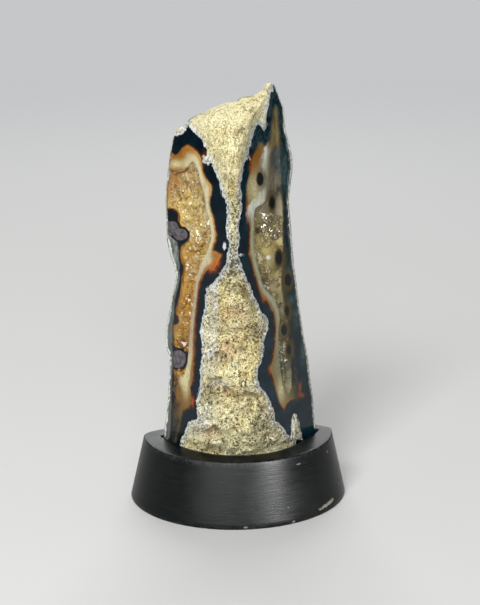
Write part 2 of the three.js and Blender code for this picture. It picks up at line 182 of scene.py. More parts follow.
FLAMES = ovals(
    (212, 268, 4.5, 4), (216, 263, 3.5, 3.5), (264, 299, 2, 3), (300, 386, 1.2, 4.5), (301, 395, 3, 1.8),
    (193, 402, 1.4, 4), (251, 166, 1.6, 7), (270, 370, 1.4, 3.5), (204, 158, 1.4, 5), (247, 210, 1.0, 9))
HONEY_PATCHES = ovals(
    (168, 182, 5, 24), (172, 171, 9, 4), (180, 157, 9, 5), (257, 154, 5, 9), (186, 262, 10, 12),
    (215, 256, 6, 4), (253, 160, 5, 12), (184, 149, 14, 4))
TEAL_PATCHES = ovals(
    (286, 183, 3, 8), (284, 172, 4, 9), (279, 152, 3, 5), (289, 276, 4, 8), (297, 316, 4, 12),
    (285, 160, 2.5, 9), (278, 163, 2.5, 4), (303, 352, 2.5, 12), (291, 300, 3, 4))
MOSS_PATCHES = ovals(
    (232, 268, 13, 15), (226, 357, 7, 5), (235, 232, 7, 34), (262, 300, 8, 8), (209, 396, 8, 10),
    (262, 424, 10, 12), (250, 442, 30, 4), (256, 336, 10, 9))
PALE_PATCHES = ovals(
    (254, 188, 7, 15), (186, 384, 3, 12), (281, 390, 3.5, 12), (207, 222, 4, 28), (176, 164, 7, 4))
CRACK = ((166, 169), (171, 171), (176, 173.5), (182, 172), (187, 167.5))
WHITE_SPOTS = ovals(
    (224.5, 246, 1.9, 3.6), (240, 255, 3.5, 1.4), (234, 256, 3, 1.3), (249.5, 158, 0.9, 3),
    (205, 160, 2.6, 3.4))
LACE_PATCHES = ovals(
    (236, 262, 12, 8), (211, 352, 6, 22), (267, 322, 6, 14), (205, 416, 8, 12), (272, 402, 6, 22),
    (214, 300, 4, 26), (222, 384, 10, 2.5), (196, 428, 10, 8))
LEDGES = (((208, 381), (219, 381), (227, 390), (236, 397), (243, 398)),
          ((246, 394), (253, 396), (259, 397)), ((206, 434), (214, 428), (222, 436), (226, 446)),
          ((244, 292), (252, 301), (256, 312)), ((228, 344), (238, 352), (246, 350)))
BLUSHES = ovals((236, 312, 10, 6), (229, 392, 8, 4), (212, 430, 8, 7), (228, 350, 12, 8))
OCHRE_PATCHES = ovals(
    (210, 391, 9, 8), (205, 437, 12, 7), (268, 434, 16, 7), (235, 185, 8, 16), (248, 333, 10, 14),
    (222, 318, 8, 10), (259, 415, 8, 8), (243, 287, 8, 10), (216, 360, 5, 9))
RIND_HOLES = ovals(
    (249, 395, 4, 1.8), (257, 397.5, 3, 1.4), (217, 354, 2.6, 1.8), (221, 379, 3, 1.5),
    (211, 405, 2.4, 1.6), (262, 409, 2, 1.6), (232, 413, 2, 1.2))
PALE_CRYSTALS = ovals(
    (197, 186, 7, 16), (204, 218, 4, 24), (264, 214, 10, 6), (262, 252, 8, 13), (273, 262, 6, 8),
    (276, 300, 4, 8), (283, 345, 3, 14), (285, 386, 4, 10), (187, 270, 4, 8), (188, 232, 7, 8))
BROWN_CRYSTALS = ovals(
    (167, 194, 9, 24), (190, 167, 9, 7), (262, 230, 9, 5), (270, 278, 8, 8), (279, 238, 4, 12),
    (177, 300, 6, 18), (181, 346, 8, 10), (278, 330, 4, 12), (283, 270, 4, 60), (277, 172, 6, 14))

# Masks of the stone: marks with a sharp border, soft marks, patches of the rind, and where no cut reaches
SHARP_MARKS = {"spot": DARK_SPOTS, "lobe": GREY_LOBES, "hole": BROWN_HOLES, "white": WHITE_SPOTS}
SOFT_MARKS = {"ember": FLAMES, "honey": HONEY_PATCHES, "pale": PALE_PATCHES, "dark": DARK_PATCHES,
              "teal": TEAL_PATCHES}
RIND_PATCHES = {"blush": BLUSHES, "ochre": OCHRE_PATCHES, "frost": LACE_PATCHES, "moss": MOSS_PATCHES}
NO_CUT = {"rind": 9.0, "hollow": -20.0, "rim": 9.0, "crack": 9.0, **dict.fromkeys(SHARP_MARKS, -9.0)}
MASKS = ("rind", "amber", "hollow", "rim", "crack", "side", "across", "pit", "ledge",
         *SHARP_MARKS, *SOFT_MARKS, *RIND_PATCHES)


class Side(Enum):
    """The two saw cuts, named as the viewer sees them."""

    LEFT = -1
    RIGHT = 1


# Measuring helpers

def rows(table: tuple) -> Array:
    """Returns a table of numbers as an array of floats."""
    return np.array(table, float)


def along(place: Array, table: tuple) -> Array:
    """Returns the values at places of a table with rows of place and value."""
    places, values = rows(table).T
    return np.interp(place, places, values)


def smooth(value: Array, low: float, high: float) -> Array:
    """Smooth step of values between two limits.

    Args:
        value: The values.
        low: Where the step starts.
        high: Where the step ends.

    Returns:
        Values from 0 to 1.
    """
    share = np.clip((value - low) / (high - low), 0, 1)
    return share * share * (3 - 2 * share)


def to_stretch(points: Array, start: Array, end: Array) -> Array:
    """Distance from points to a straight stretch.

    Args:
        points: Points as rows of x and y.
        start: Where the stretch starts.
        end: Where it ends.

    Returns:
        The distances.
    """
    edge = end - start
    share = np.clip((points - start) @ edge / (edge @ edge), 0, 1)
    return np.hypot(*(points - start - share[:, None] * edge).T)


def signed_distance(points: Array, outline: Array) -> Array:
    """Distance from points to a closed outline.

    Args:
        points: Points as rows of x and y.
        outline: Corners of the outline in order.

    Returns:
        The distances, positive inside the outline.
    """
    nearest = np.full(len(points), np.inf)
    inside = np.zeros(len(points), bool)
    for start, end in zip(outline, np.roll(outline, -1, axis=0)):
        nearest = np.minimum(nearest, to_stretch(points, start, end))
        run, fall = end - start
        if fall:
            crossed = (start[1] > points[:, 1]) != (end[1] > points[:, 1])
            reach = start[0] + (points[:, 1] - start[1]) * run / fall
            inside ^= crossed & (points[:, 0] < reach)
    return np.where(inside, nearest, -nearest)


def distance_to_line(points: Array, line: Array) -> Array:
    """Distance from points to an open line of straight stretches.

    Args:
        points: Points as rows of x and y.
        line: Points of the line in order.

    Returns:
        The distances.
    """
    return np.min([to_stretch(points, start, end) for start, end in zip(line[:-1], line[1:])], axis=0)


def inside_marks(points: Array, marks: tuple[Mark, ...]) -> Array:
    """Returns how far points lie inside the nearest oval, in pixels, negative outside."""
    depths = [(1 - np.hypot((points[:, 0] - m.x) / m.across, (points[:, 1] - m.y) / m.up))
              * min(m.across, m.up) for m in marks]
    return np.max(depths, axis=0)


def glow_of_marks(points: Array, marks: tuple[Mark, ...]) -> Array:
    """Returns the strength of soft ovals at points, from 0 to 1."""
    reaches = [((points[:, 0] - m.x) / m.across) ** 2 + ((points[:, 1] - m.y) / m.up) ** 2 for m in marks]
    return np.clip(sum(np.exp(-reach) for reach in reaches), 0, 1)


def fractal(points: Array, size: float, octaves: int = 3) -> Array:
    """Smooth noise at points, about -1 to 1.

    Args:
        points: Points in millimetres.
        size: Size of the largest swells in millimetres.
        octaves: Number of finer layers.

    Returns:
        The noise at each point.
    """
    return np.array([noise.fractal(Vector(p), 1.0, 2.0, octaves) for p in points / size])


def cells(points: Array, size: float) -> tuple[Array, Array]:
    """Scattered cells of one size.

    Args:
        points: Points in millimetres.
        size: Size of a cell in millimetres.

    Returns:
        Distance to the nearest cell's middle, in cells, and a random value of that cell.
    """
    found = [noise.voronoi(Vector(p)) for p in points / size]
    nearest = np.array([distances[0] for distances, _ in found])
    value = np.array([noise.cell(middles[0] * 7.3) for _, middles in found])
    return nearest, value


@dataclass(frozen=True)
class PhotoView:
    """The photograph's viewpoint, in millimetres, radians and pixels."""

    width: float = 480.0
    height: float = 605.0
    focal: float = 1300.0
    tilt: float = math.radians(18)
    turn: float = math.radians(-5)
    place: Triple = (-62.05, -705.65, 356.56)
    sensor: float = 36.0
    clip: Pair = (0.01, 100.0)

    def axes(self) -> tuple[Array, Array, Array]:
        """Works out the camera's directions.

        Returns:
            The directions forward, right and up.
        """
        level = math.cos(self.tilt)
        forward = rows((-math.sin(self.turn) * level, math.cos(self.turn) * level, -math.sin(self.tilt)))
        right = rows((math.cos(self.turn), math.sin(self.turn), 0))
        return forward, right, np.cross(right, forward)

    def project(self, points: Array) -> Array:
        """Works out where points are seen.

        Args:
            points: The points, in millimetres.

        Returns:
            Rows of x and y, in pixels.
        """
        forward, right, up = self.axes()
        away = points - rows(self.place)
        depth = away @ forward
        across = self.width / 2 + self.focal * (away @ right) / depth
        return np.column_stack((across, self.height / 2 - self.focal * (away @ up) / depth))

    def on_plane(self, pixels: Array, normal: Array, level: float) -> Array:
        """Points of a plane that are seen at pixels.

        Args:
            pixels: Rows of x and y.
            normal: The plane's direction.
            level: The plane's distance from the origin along that direction.

        Returns:
            The points, in millimetres.
        """
        forward, right, up = self.axes()
        across = (pixels[:, :1] - self.width / 2) / self.focal
        down = (pixels[:, 1:] - self.height / 2) / self.focal
        rays = forward + across * right - down * up
        place = rows(self.place)
        return place + (level - place @ normal) / (rays @ normal)[:, None] * rays

    def add_camera(self) -> None:
        """Makes the scene's camera at this viewpoint."""
        data = bpy.data.cameras.new("photo_view")
        data.sensor_width = self.sensor
        data.lens = self.focal / self.height * self.sensor
        data.clip_start, data.clip_end = self.clip
        camera = bpy.data.objects.new("photo_view", data)
        forward, right, up = self.axes()
        turn = Matrix((right, up, -forward)).transposed()
        camera.matrix_world = Matrix.Translation(Vector(self.place) * MM) @ turn.to_4x4()
        bpy.context.scene.collection.objects.link(camera)
        bpy.context.scene.camera = camera


@dataclass(frozen=True)
class CutFace:
    """The plane of a saw cut, turned to one side and leaning back, through a point in millimetres."""

    side: Side
    turn: float
    lean: float
    point: Triple

    @property
    def normal(self) -> Array:
        """Direction that the polished face looks in."""
        turn, lean = math.radians(self.turn), math.radians(self.lean)
        level = math.cos(lean)
        return rows((self.side.value * math.sin(turn) * level, -math.cos(turn) * level, math.sin(lean)))

    @property
    def level(self) -> float:
        """Distance of the plane from the origin along its normal."""
        return float(self.normal @ rows(self.point))

    def at(self, x: Array, z: Array) -> Array:
        """Returns the points of the face at the given x and height."""
        n = self.normal
        return np.column_stack((x, (self.level - n[0] * x - n[2] * z) / n[1], z))


LEFT_CUT = CutFace(Side.LEFT, 54, 4, (-40.6, 7.9, 39))
RIGHT_CUT = CutFace(Side.RIGHT, 50, 6, (42.9, 10.1, 39))


# Node helpers

def tone(red: float, green: float, blue: float) -> tuple[float, float, float, float]:
    """Linear colour from display values of 0 to 255."""
    shares = [value / 255 for value in (red, green, blue)]
    return (*[s / 12.92 if s <= 0.04045 else ((s + 0.055) / 1.055) ** 2.4 for s in shares], 1.0)


class Board:
    """A node tree with short calls that add nodes and join them."""

    def __init__(self, tree: bpy.types.NodeTree) -> None:
        """Starts on an existing tree."""
        self.tree = tree

    def add(self, kind: str, inputs: dict | None = None, **settings: object) -> bpy.types.Node:
        """Adds a node.

        Args:
            kind: Blender's name of the node type.
            inputs: Values or sockets by input name or number.
            **settings: Properties of the node.

        Returns:
            The node.
        """
        node = self.tree.nodes.new(kind)
        for name, value in settings.items():
            setattr(node, name, value)
        for key, value in (inputs or {}).items():
            self.feed(node.inputs[key], value)
        return node

    def feed(self, socket: Socket, value: object) -> None:
        """Joins a socket to an input, or sets the input's value.

        Args:
            socket: The input.
            value: A socket, a number or a colour.
        """
        if isinstance(value, Socket):
            self.tree.links.new(value, socket)
        else:
            socket.default_value = value

    def math(self, operation: str, first: object, second: object = 0.0, clamp: bool = False) -> Socket:
        """Returns the result of a sum of one or two values."""
        node = self.add("ShaderNodeMath", {0: first, 1: second}, operation=operation, use_clamp=clamp)
        return node.outputs[0]

    def times(self, *values: object) -> Socket:
        """Returns the product of values."""
        return reduce(lambda first, second: self.math("MULTIPLY", first, second), values)

    def plus(self, first: object, second: object) -> Socket:
        """Returns the sum of two values."""
        return self.math("ADD", first, second)

    def minus(self, first: object, second: object) -> Socket:
        """Returns the first value less the second."""
        return self.math("SUBTRACT", first, second)

    def largest(self, *values: object) -> Socket:
        """Returns the largest of values."""
        return reduce(lambda first, second: self.math("MAXIMUM", first, second), values)

    def swing(self, value: object, width: float) -> Socket:
        """Returns a noise of 0 to 1 as a swing around zero that is as wide as given."""
        return self.times(self.minus(value, 0.5), width)

    def step(self, value: object, low: object, high: object, first: object = 0.0,
             last: object = 1.0) -> Socket:
        """Returns a smooth change from first to last as the value goes from low to high."""
        inputs = {"Value": value, "From Min": low, "From Max": high, "To Min": first, "To Max": last}
        return self.add("ShaderNodeMapRange", inputs, interpolation_type="SMOOTHSTEP").outputs[0]

    def spread(self, value: object, low: float, high: float) -> Socket:
        """Returns where a value lies between two limits, from 0 to 1."""
        return self.add("ShaderNodeMapRange", {"Value": value, "From Min": low, "From Max": high}).outputs[0]

    def mix(self, share: object, first: object, second: object, blend: str = "MIX") -> Socket:
        """Returns a mix of two colours."""
        inputs = {"Factor": share, 6: first, 7: second}
        return self.add("ShaderNodeMix", inputs, data_type="RGBA", blend_type=blend).outputs[2]

    def blend(self, value: object, low: float, high: float, first: object, last: object) -> Socket:
        """Returns a smooth change from one colour to another as the value goes from low to high."""
        return self.mix(self.step(value, low, high), first, last)

    def layers(self, colour: object, coats: tuple) -> object:
        """Lays colours over a colour, one after another.

        Args:
            colour: The lowest colour.
            coats: The share, the colour and, unless it is a plain mix, the blend of each layer.

        Returns:
            The socket of the result.
        """
        for share, shown, *blend in coats:
            colour = self.mix(share, colour, shown, *blend)
        return colour

    def own(self, name: str) -> Socket:
        """Returns the piece's own value of that name."""
        return self.add("ShaderNodeAttribute", attribute_name=name).outputs["Fac"]

    def place(self) -> Socket:
        """Returns the piece's own coordinates, in metres."""
        return self.add("ShaderNodeTexCoord").outputs["Object"]

    def height(self, vector: object) -> Socket:
        """Returns how high a place is."""
        return self.add("ShaderNodeSeparateXYZ", {0: vector}).outputs[2]

    def stretch(self, vector: object, scale: Triple) -> Socket:
        """Returns a vector scaled along each axis."""
        return self.add("ShaderNodeMapping", {"Vector": vector, "Scale": scale}).outputs[0]

    def cloud(self, vector: object, size: float, detail: float = 3.0, roughness: float = 0.55,
              warp: float = 0.0) -> Socket:
        """Returns noise from 0 to 1 whose swells have a size in millimetres."""
        inputs = {"Vector": vector, "Scale": 1 / (size * MM), "Detail": detail, "Roughness": roughness,
                  "Distortion": warp}
        return self.add("ShaderNodeTexNoise", inputs).outputs["Fac"]

    def cell(self, vector: object, size: float, feature: str = "F1") -> bpy.types.Node:
        """Returns a node of scattered cells with a size in millimetres."""
        return self.add("ShaderNodeTexVoronoi", {"Vector": vector, "Scale": 1 / (size * MM)}, feature=feature)

    def ramp(self, value: object, stops: tuple) -> Socket:
        """Returns a colour picked along a row of stops.

        Args:
            value: Where on the row, from 0 to 1.
            stops: Pairs of position and colour.

        Returns:
            The colour socket.
        """
        node = self.add("ShaderNodeValToRGB", {0: value})
        elements = node.color_ramp.elements
        for index, (position, colour) in enumerate(stops):
            element = elements[index] if index < 2 else elements.new(position)
            element.position = position
            element.color = colour
        return node.outputs[0]

    def group(self, tree: bpy.types.NodeTree, inputs: dict) -> Socket:
        """Returns the result of a shared effect that is given its own values."""
        return self.add("ShaderNodeGroup", inputs, node_tree=tree).outputs[0]

    def bump(self, height: object, depth: float, strength: float = 1.0) -> Socket:
        """Returns a normal bent by a height of the given depth in millimetres."""
        return self.add("ShaderNodeBump", {"Height": height, "Distance": depth * MM,
                                           "Strength": strength}).outputs[0]


@dataclass(frozen=True)
class TwoTone:
    """Two colours that run into each other while a noise goes from low to high."""

    first: tuple
    last: tuple
    low: float = 0.35
    high: float = 0.65

    def paint(self, board: Board, value: Socket) -> Socket:
        """Returns the colour at a value of the noise."""
        return board.blend(value, self.low, self.high, self.first, self.last)


def new_group(name: str, inputs: dict[str, str], outputs: dict[str, str]) -> tuple:
    """Makes an empty node group.

    Args:
        name: The group's name.
        inputs: Socket types by input name.
        outputs: Socket types by output name.

    Returns:
        The group, its board, its input node and its output node.
    """
    tree = bpy.data.node_groups.new(name, "ShaderNodeTree")
    for label, kind in inputs.items():
        tree.interface.new_socket(label, in_out="INPUT", socket_type=kind)
    for label, kind in outputs.items():
        tree.interface.new_socket(label, in_out="OUTPUT", socket_type=kind)
    board = Board(tree)
    return tree, board, board.add("NodeGroupInput"), board.add("NodeGroupOutput")


def new_material(name: str) -> tuple[Material, Board, bpy.types.Node]:
    """Makes an empty material.

    Args:
        name: The material's name.

    Returns:
        The material, its board and its Principled shader.
    """
    material = bpy.data.materials.new(name)
    material.use_nodes = True
    return material, Board(material.node_tree), material.node_tree.nodes["Principled BSDF"]


def speckle_group() -> bpy.types.NodeTree:
    """Makes a shared effect of scattered round specks.

    Returns:
        The node group, which is told what share of the cells has a speck and how wide it is.
    """
    tree, board, given, result = new_group(
        "speckles", {"Vector": VECTOR, "Scale": FLOAT, "Share": FLOAT, "Width": FLOAT}, {"Mask": FLOAT})
    vector, scale, share, width = (given.outputs[label] for label in ("Vector", "Scale", "Share", "Width"))
    cell = board.add("ShaderNodeTexVoronoi", {"Vector": vector, "Scale": scale})
    picked = board.add("ShaderNodeSeparateColor", {0: cell.outputs["Color"]}).outputs[0]
    chosen = board.math("LESS_THAN", picked, share)
    speck = board.step(cell.outputs["Distance"], board.times(width, 0.5), width, 1.0, 0.0)
    board.feed(result.inputs["Mask"], board.times(speck, chosen))
    return tree


def band_group() -> bpy.types.NodeTree:
    """Makes a shared effect of agate bands between the amber outline and the hollow's rim.

    Returns:
        The node group, which is told the distances from both outlines and the tones of the bands.
    """
    colours = {label: COLOUR for label in ("Ground", "Line", "Flame", "Body", "Pale")}
    tree, board, given, result = new_group(
        "agate_bands", {"Vector": VECTOR, "Amber": FLOAT, "Hollow": FLOAT, **colours}, {"Colour": COLOUR})
    value = given.outputs
    wide = board.cloud(value["Vector"], 5.0, 3.0)
    fine = board.cloud(value["Vector"], 1.3, 3.0, 0.6)
    depth = board.plus(value["Amber"], board.plus(board.swing(wide, 1.6), board.swing(fine, 1.1)))
    width = board.largest(board.minus(depth, value["Hollow"]), 1.2)
    share = board.math("DIVIDE", depth, width, clamp=True)
    ripple = board.math("SINE", board.times(depth, 8.0))
    share = board.math("ADD", share, board.times(ripple, 0.04), clamp=True)
    burnt = board.blend(wide, 0.4, 0.66, value["Line"], value["Flame"])
    colour = board.blend(depth, 0.3, 1.1, burnt, value["Body"])
    colour = board.blend(share, 0.32, 0.6, colour, value["Pale"])
    smoke = board.cloud(value["Vector"], 3.2, 4.0, 0.6, 0.5)
    colour = board.mix(board.step(smoke, 0.5, 0.8, 0.0, 0.45), colour, tone(120, 78, 34), "MULTIPLY")
    board.feed(result.inputs["Colour"], board.blend(depth, -0.45, 0.2, value["Ground"], colour))
    return tree


# Finishes

@dataclass(frozen=True)
class CutValues:
    """Sockets that all parts of the polished cuts read: places, masks and noises."""

    where: Socket
    z: Socket
    side: Socket
    across: Socket
    amber: Socket
    hollow: Socket
    streaks: Socket
    sugar: Socket
    ripple: Socket


@dataclass(frozen=True)
class StoneFinish:
    """Polished agate on the cuts and weathered rind everywhere else, told apart by the piece's own masks."""

    bands: bpy.types.NodeTree
    cream: tuple = tone(255, 246, 194)
    tan: tuple = tone(232, 213, 142)
    ochre: tuple = tone(176, 148, 84)
    pink: tuple = tone(222, 168, 130)
    moss: tuple = tone(126, 124, 88)
    pit: tuple = tone(74, 62, 34)
    froth: tuple = tone(244, 246, 242)
    lace: tuple = tone(246, 247, 240)
    lace_shade: tuple = tone(74, 80, 64)
    grain: tuple = tone(255, 254, 224)
    # Paler cream laid near the rind's foot: painted light
    painted_lit_foot: tuple = tone(255, 250, 206)
    navy: tuple = tone(8, 17, 24)
    teal: tuple = tone(15, 49, 61)
    painted_teal_sheen: tuple = tone(52, 68, 70)
    rust: tuple = tone(70, 22, 8)
    flame: tuple = tone(136, 38, 8)
    left_flame: tuple = tone(88, 46, 18)
    right_flame: tuple = tone(92, 40, 14)
    right_body: tuple = tone(142, 116, 64)
    smoke: tuple = tone(52, 36, 24)
    sugar: tuple = tone(226, 214, 180)
    shade: tuple = tone(26, 36, 40)
    honey: tuple = tone(140, 90, 34)
    misty: tuple = tone(66, 88, 88)
    ember: tuple = tone(196, 96, 26)
    crumb: tuple = tone(206, 210, 208)
    hole: tuple = tone(72, 40, 8)
    crack: tuple = tone(92, 36, 14)
    halo: tuple = tone(88, 72, 34)
    spot: tuple = tone(12, 18, 28)
    rim_line: tuple = tone(40, 42, 44)
    burnt: TwoTone = TwoTone(tone(110, 66, 22), tone(168, 122, 52))
    olive: TwoTone = TwoTone(tone(60, 56, 42), tone(104, 92, 60), 0.35, 0.7)
    olive_top: TwoTone = TwoTone(tone(108, 96, 60), tone(150, 134, 90))
    olive_foot: TwoTone = TwoTone(tone(44, 42, 32), tone(104, 92, 50))
    vein: TwoTone = TwoTone(tone(226, 230, 222), tone(190, 190, 172), 0.4, 0.6)
    pale: TwoTone = TwoTone(tone(222, 216, 172), tone(184, 174, 124), 0.4, 0.6)
    lobe: TwoTone = TwoTone(tone(70, 66, 72), tone(106, 100, 102), 0.38, 0.62)
    left_rim: TwoTone = TwoTone(tone(150, 155, 148), tone(84, 88, 84))
    right_rim: TwoTone = TwoTone(tone(122, 140, 136), tone(48, 62, 64), 0.35, 0.6)
    low_rim: TwoTone = TwoTone(tone(56, 66, 64), tone(98, 104, 94))
    white_line: TwoTone = TwoTone(tone(242, 246, 242), tone(178, 186, 180), 0.4, 0.65)
    dark_stripes: tuple = (tone(136, 84, 36), tone(84, 78, 68))
    light_stripes: tuple = (tone(226, 206, 150), tone(150, 140, 118))
    left_body: tuple = ((0.0, tone(96, 78, 40)), (1.0, tone(186, 150, 86)), (0.25, tone(134, 96, 44)),
                        (0.34, tone(128, 90, 42)), (0.5, tone(120, 82, 38)), (0.57, tone(172, 128, 66)))
    left_ring: tuple = ((0.0, tone(170, 150, 92)), (1.0, tone(206, 198, 158)), (0.25, tone(200, 190, 146)),
                        (0.34, tone(172, 158, 132)), (0.5, tone(176, 164, 140)), (0.57, tone(198, 190, 156)))
    right_ring: tuple = ((0.0, tone(110, 96, 54)), (1.0, tone(172, 168, 142)), (0.17, tone(128, 116, 76)),
                         (0.3, tone(140, 134, 104)), (0.45, tone(172, 168, 142)))
    left_floor: tuple = ((0.0, tone(160, 128, 60)), (1.0, tone(186, 172, 136)), (0.22, tone(156, 122, 56)),
                         (0.45, tone(172, 134, 58)), (0.56, tone(190, 158, 78)), (0.72, tone(194, 168, 96)),
                         (0.78, tone(176, 148, 92)))
    right_floor: tuple = ((0.0, tone(150, 142, 104)), (1.0, tone(66, 64, 56)), (0.2, tone(96, 90, 60)),
                          (0.4, tone(124, 114, 70)), (0.58, tone(176, 160, 96)), (0.7, tone(138, 126, 92)),
                          (0.82, tone(116, 105, 86)), (0.9, tone(60, 59, 56)))

    def rind(self, board: Board, where: Socket, height: Socket) -> tuple[Socket, Socket]:
        """Colours the weathered rind.

        Args:
            board: The node board.
            where: The piece's coordinates.
            height: Distance from the rind's border in millimetres.

        Returns:
            The colour and the height for the bump.
        """
        z = board.height(where)
        top = board.step(z, 0.185, 0.215)
        patches = board.cloud(where, 5.0, 4.0, 0.65)
        sand = board.cloud(where, 0.62, 2.0, 0.55)
        moss = board.times(board.own("moss"), board.step(patches, 0.3, 0.6, 0.35, 1.0))
        frost = board.times(board.own("frost"), board.step(patches, 0.35, 0.6, 1.0, 0.35))
        lacy = board.largest(board.step(height, 0.8, 2.5, 1.0, 0.0), frost)
        ground = board.blend(board.cloud(where, 14.0, 5.0, 0.6, 0.4), 0.35, 0.65, self.cream, self.tan)
        colour = board.layers(ground, (
            (board.times(top, 0.5), self.cream),
            (board.step(patches, 0.5, 0.75, 0.0, 0.6), self.ochre),
            (board.times(board.own("ochre"), 0.62), self.ochre),
            (board.times(board.own("blush"), 0.5), self.pink),
            (board.times(moss, 0.6), self.moss),
            (board.times(lacy, 0.85), self.lace),
            (board.step(sand, 0.54, 0.7, 0.0, 0.65), self.grain)))
        pores = board.cloud(where, 1.2, 3.0, 0.6, 0.6)
        crowd = board.plus(board.step(patches, 0.35, 0.65, 0.39, 0.47), board.times(moss, 0.08))
        wide_pores = board.step(pores, board.minus(crowd, 0.05), crowd, 1.0, 0.0)
        walls = board.cell(where, 2.4, "DISTANCE_TO_EDGE").outputs["Distance"]
        walls = board.plus(walls, board.swing(sand, 0.25))
        gaps = board.times(board.step(walls, 0.13, 0.22), board.step(pores, 0.52, 0.6, 1.0, 0.0), lacy, 0.95)
        grit = board.times(board.step(sand, 0.38, 0.48, 1.0, 0.0), 0.7)
        # The ledge mask paints shadow under the rind's ledges, in its holes and in the back's clefts, over
        # dents that the mesh also has.
        ledge = board.times(board.own("ledge"), board.step(patches, 0.3, 0.6, 0.4, 0.95))
        pits = board.math("ADD", board.times(board.own("pit"), 0.75), ledge, clamp=True)
        # Dark pores, pits and lace gaps are partly the rind's own dark olive and partly painted shade in
        # these small hollows; they are laid lighter on top.
        dark = board.times(board.largest(grit, wide_pores, gaps, pits), board.step(height, 0.0, 0.9),
                           board.step(top, 0.0, 1.0, 1.0, 0.72))
        # Painted light: near its foot the rind is laid paler between its dark marks, a painted pool of light
        # there.
        foot = board.times(board.step(z, 0.09, 0.06), board.step(dark, 0.5, 0.0), 0.3)
        colour = board.layers(colour, (
            (board.times(board.step(walls, 0.06, 0.15, 1.0, 0.0), lacy), self.froth),
            (board.times(dark, 0.94), board.mix(lacy, self.pit, self.lace_shade)),
            (foot, self.painted_lit_foot)))
        return colour, board.minus(board.times(patches, 0.6), dark)

    def banded(self, board: Board, cut: CutValues, ground: Socket, flame: tuple, body: object,
               pale: Socket) -> Socket:
        """Bands of one cut face.

        Args:
            board: The node board.
            cut: The shared values.
            ground: The dark colour outside the bands.
            flame: The warm tone of the outermost band.
            body: The colour of the middle band.
            pale: The colour of the band beside the hollow.

        Returns:
            The colour.
        """
        return board.group(self.bands, {
            "Vector": cut.where, "Amber": cut.amber, "Hollow": cut.hollow, "Ground": ground,
            "Line": self.rust, "Flame": flame, "Body": body, "Pale": pale})

    def left_face(self, board: Board, cut: CutValues, ground: Socket, up: Socket) -> Socket:
        """Colours the left cut face outside its hollow.

        Args:
            board: The node board.
            cut: The shared values.
            ground: The dark colour outside the bands.
            up: Share of the height.

        Returns:
            The colour.
        """
        bands = self.banded(board, cut, ground, self.left_flame, board.ramp(up, self.left_body),
                            board.ramp(up, self.left_ring))
        smoke = board.step(board.cloud(cut.where, 3.6, 4.0, 0.65, 0.6), 0.46, 0.62, 0.0, 0.75)
        smoke = board.times(smoke, board.step(cut.z, 0.11, 0.075))
        outer = board.mix(smoke, self.burnt.paint(board, cut.streaks), self.smoke)
        outer = board.blend(cut.amber, -0.6, 0.3, ground, outer)
        face = board.blend(cut.across, 0.45, 0.25, bands, outer)
        foot = board.times(board.step(cut.z, 0.05, 0.068, 1.0, 0.0), board.step(cut.amber, -0.8, 0.6))
        return board.mix(foot, face, self.olive_foot.paint(board, cut.streaks))

    def right_face(self, board: Board, cut: CutValues, ground: Socket, up: Socket) -> Socket:
        """Colours the right cut face outside its hollow.

        Args:
            board: The node board.
            cut: The shared values.
            ground: The dark colour outside the bands.
            up: Share of the height.

        Returns:
            The colour.
        """
        bands = self.banded(board, cut, ground, self.right_flame, self.right_body,
                            board.ramp(up, self.right_ring))
        # Painted reflection: a teal sheen laid in clouds over the navy ground, only higher up.
        painted_teal_sheen = board.blend(board.cloud(cut.where, 3.4, 4.0, 0.65), 0.42, 0.62, ground, self.painted_teal_sheen)
        painted_teal_sheen = board.blend(cut.z, 0.1, 0.19, ground, painted_teal_sheen)
        olive = board.blend(cut.z, 0.205, 0.222, self.olive.paint(board, cut.streaks),
                            self.olive_top.paint(board, cut.streaks))
        olive = board.blend(cut.amber, -1.6, 1.4, painted_teal_sheen, olive)
        outer = board.largest(board.step(cut.across, 0.42, 0.6), board.step(cut.z, 0.213, 0.218))
        reach = board.plus(cut.hollow, board.times(board.cloud(cut.where, 2.4, 5.0, 0.7), 5.0))
        vein = board.times(board.step(reach, -2.2, -1.6), board.step(cut.z, 0.176, 0.186),
                           board.step(cut.across, 0.5, 0.4), 0.95)
        return board.layers(bands, ((outer, olive), (vein, self.vein.paint(board, cut.streaks))))

    def floor(self, board: Board, cut: CutValues) -> Socket:
        """Colours the floors of both hollows, striped where they are bare near the top.

        Args:
            board: The node board.
            cut: The shared values.

        Returns:
            The colour.
        """
        low = board.spread(cut.z, 0.06, 0.23)
        right = board.step(cut.side, -0.5, 0.5)
        stripes = board.cloud(board.stretch(cut.where, (1.0, 1.0, 0.12)), 1.5, 3.0, 0.6)
        bare = board.step(cut.z, 0.176, 0.188)
        floor = board.mix(right, board.ramp(low, self.left_floor), board.ramp(low, self.right_floor))
        dark = board.times(board.step(stripes, 0.52, 0.66, 0.0, 0.7), bare)
        light = board.times(board.step(stripes, 0.46, 0.36, 0.0, 0.6), bare)
        return board.layers(floor, (
            (dark, board.mix(right, *self.dark_stripes)),
            (light, board.mix(right, *self.light_stripes)),
            (board.step(cut.sugar, 0.55, 0.8, 0.0, 0.4), self.sugar)))

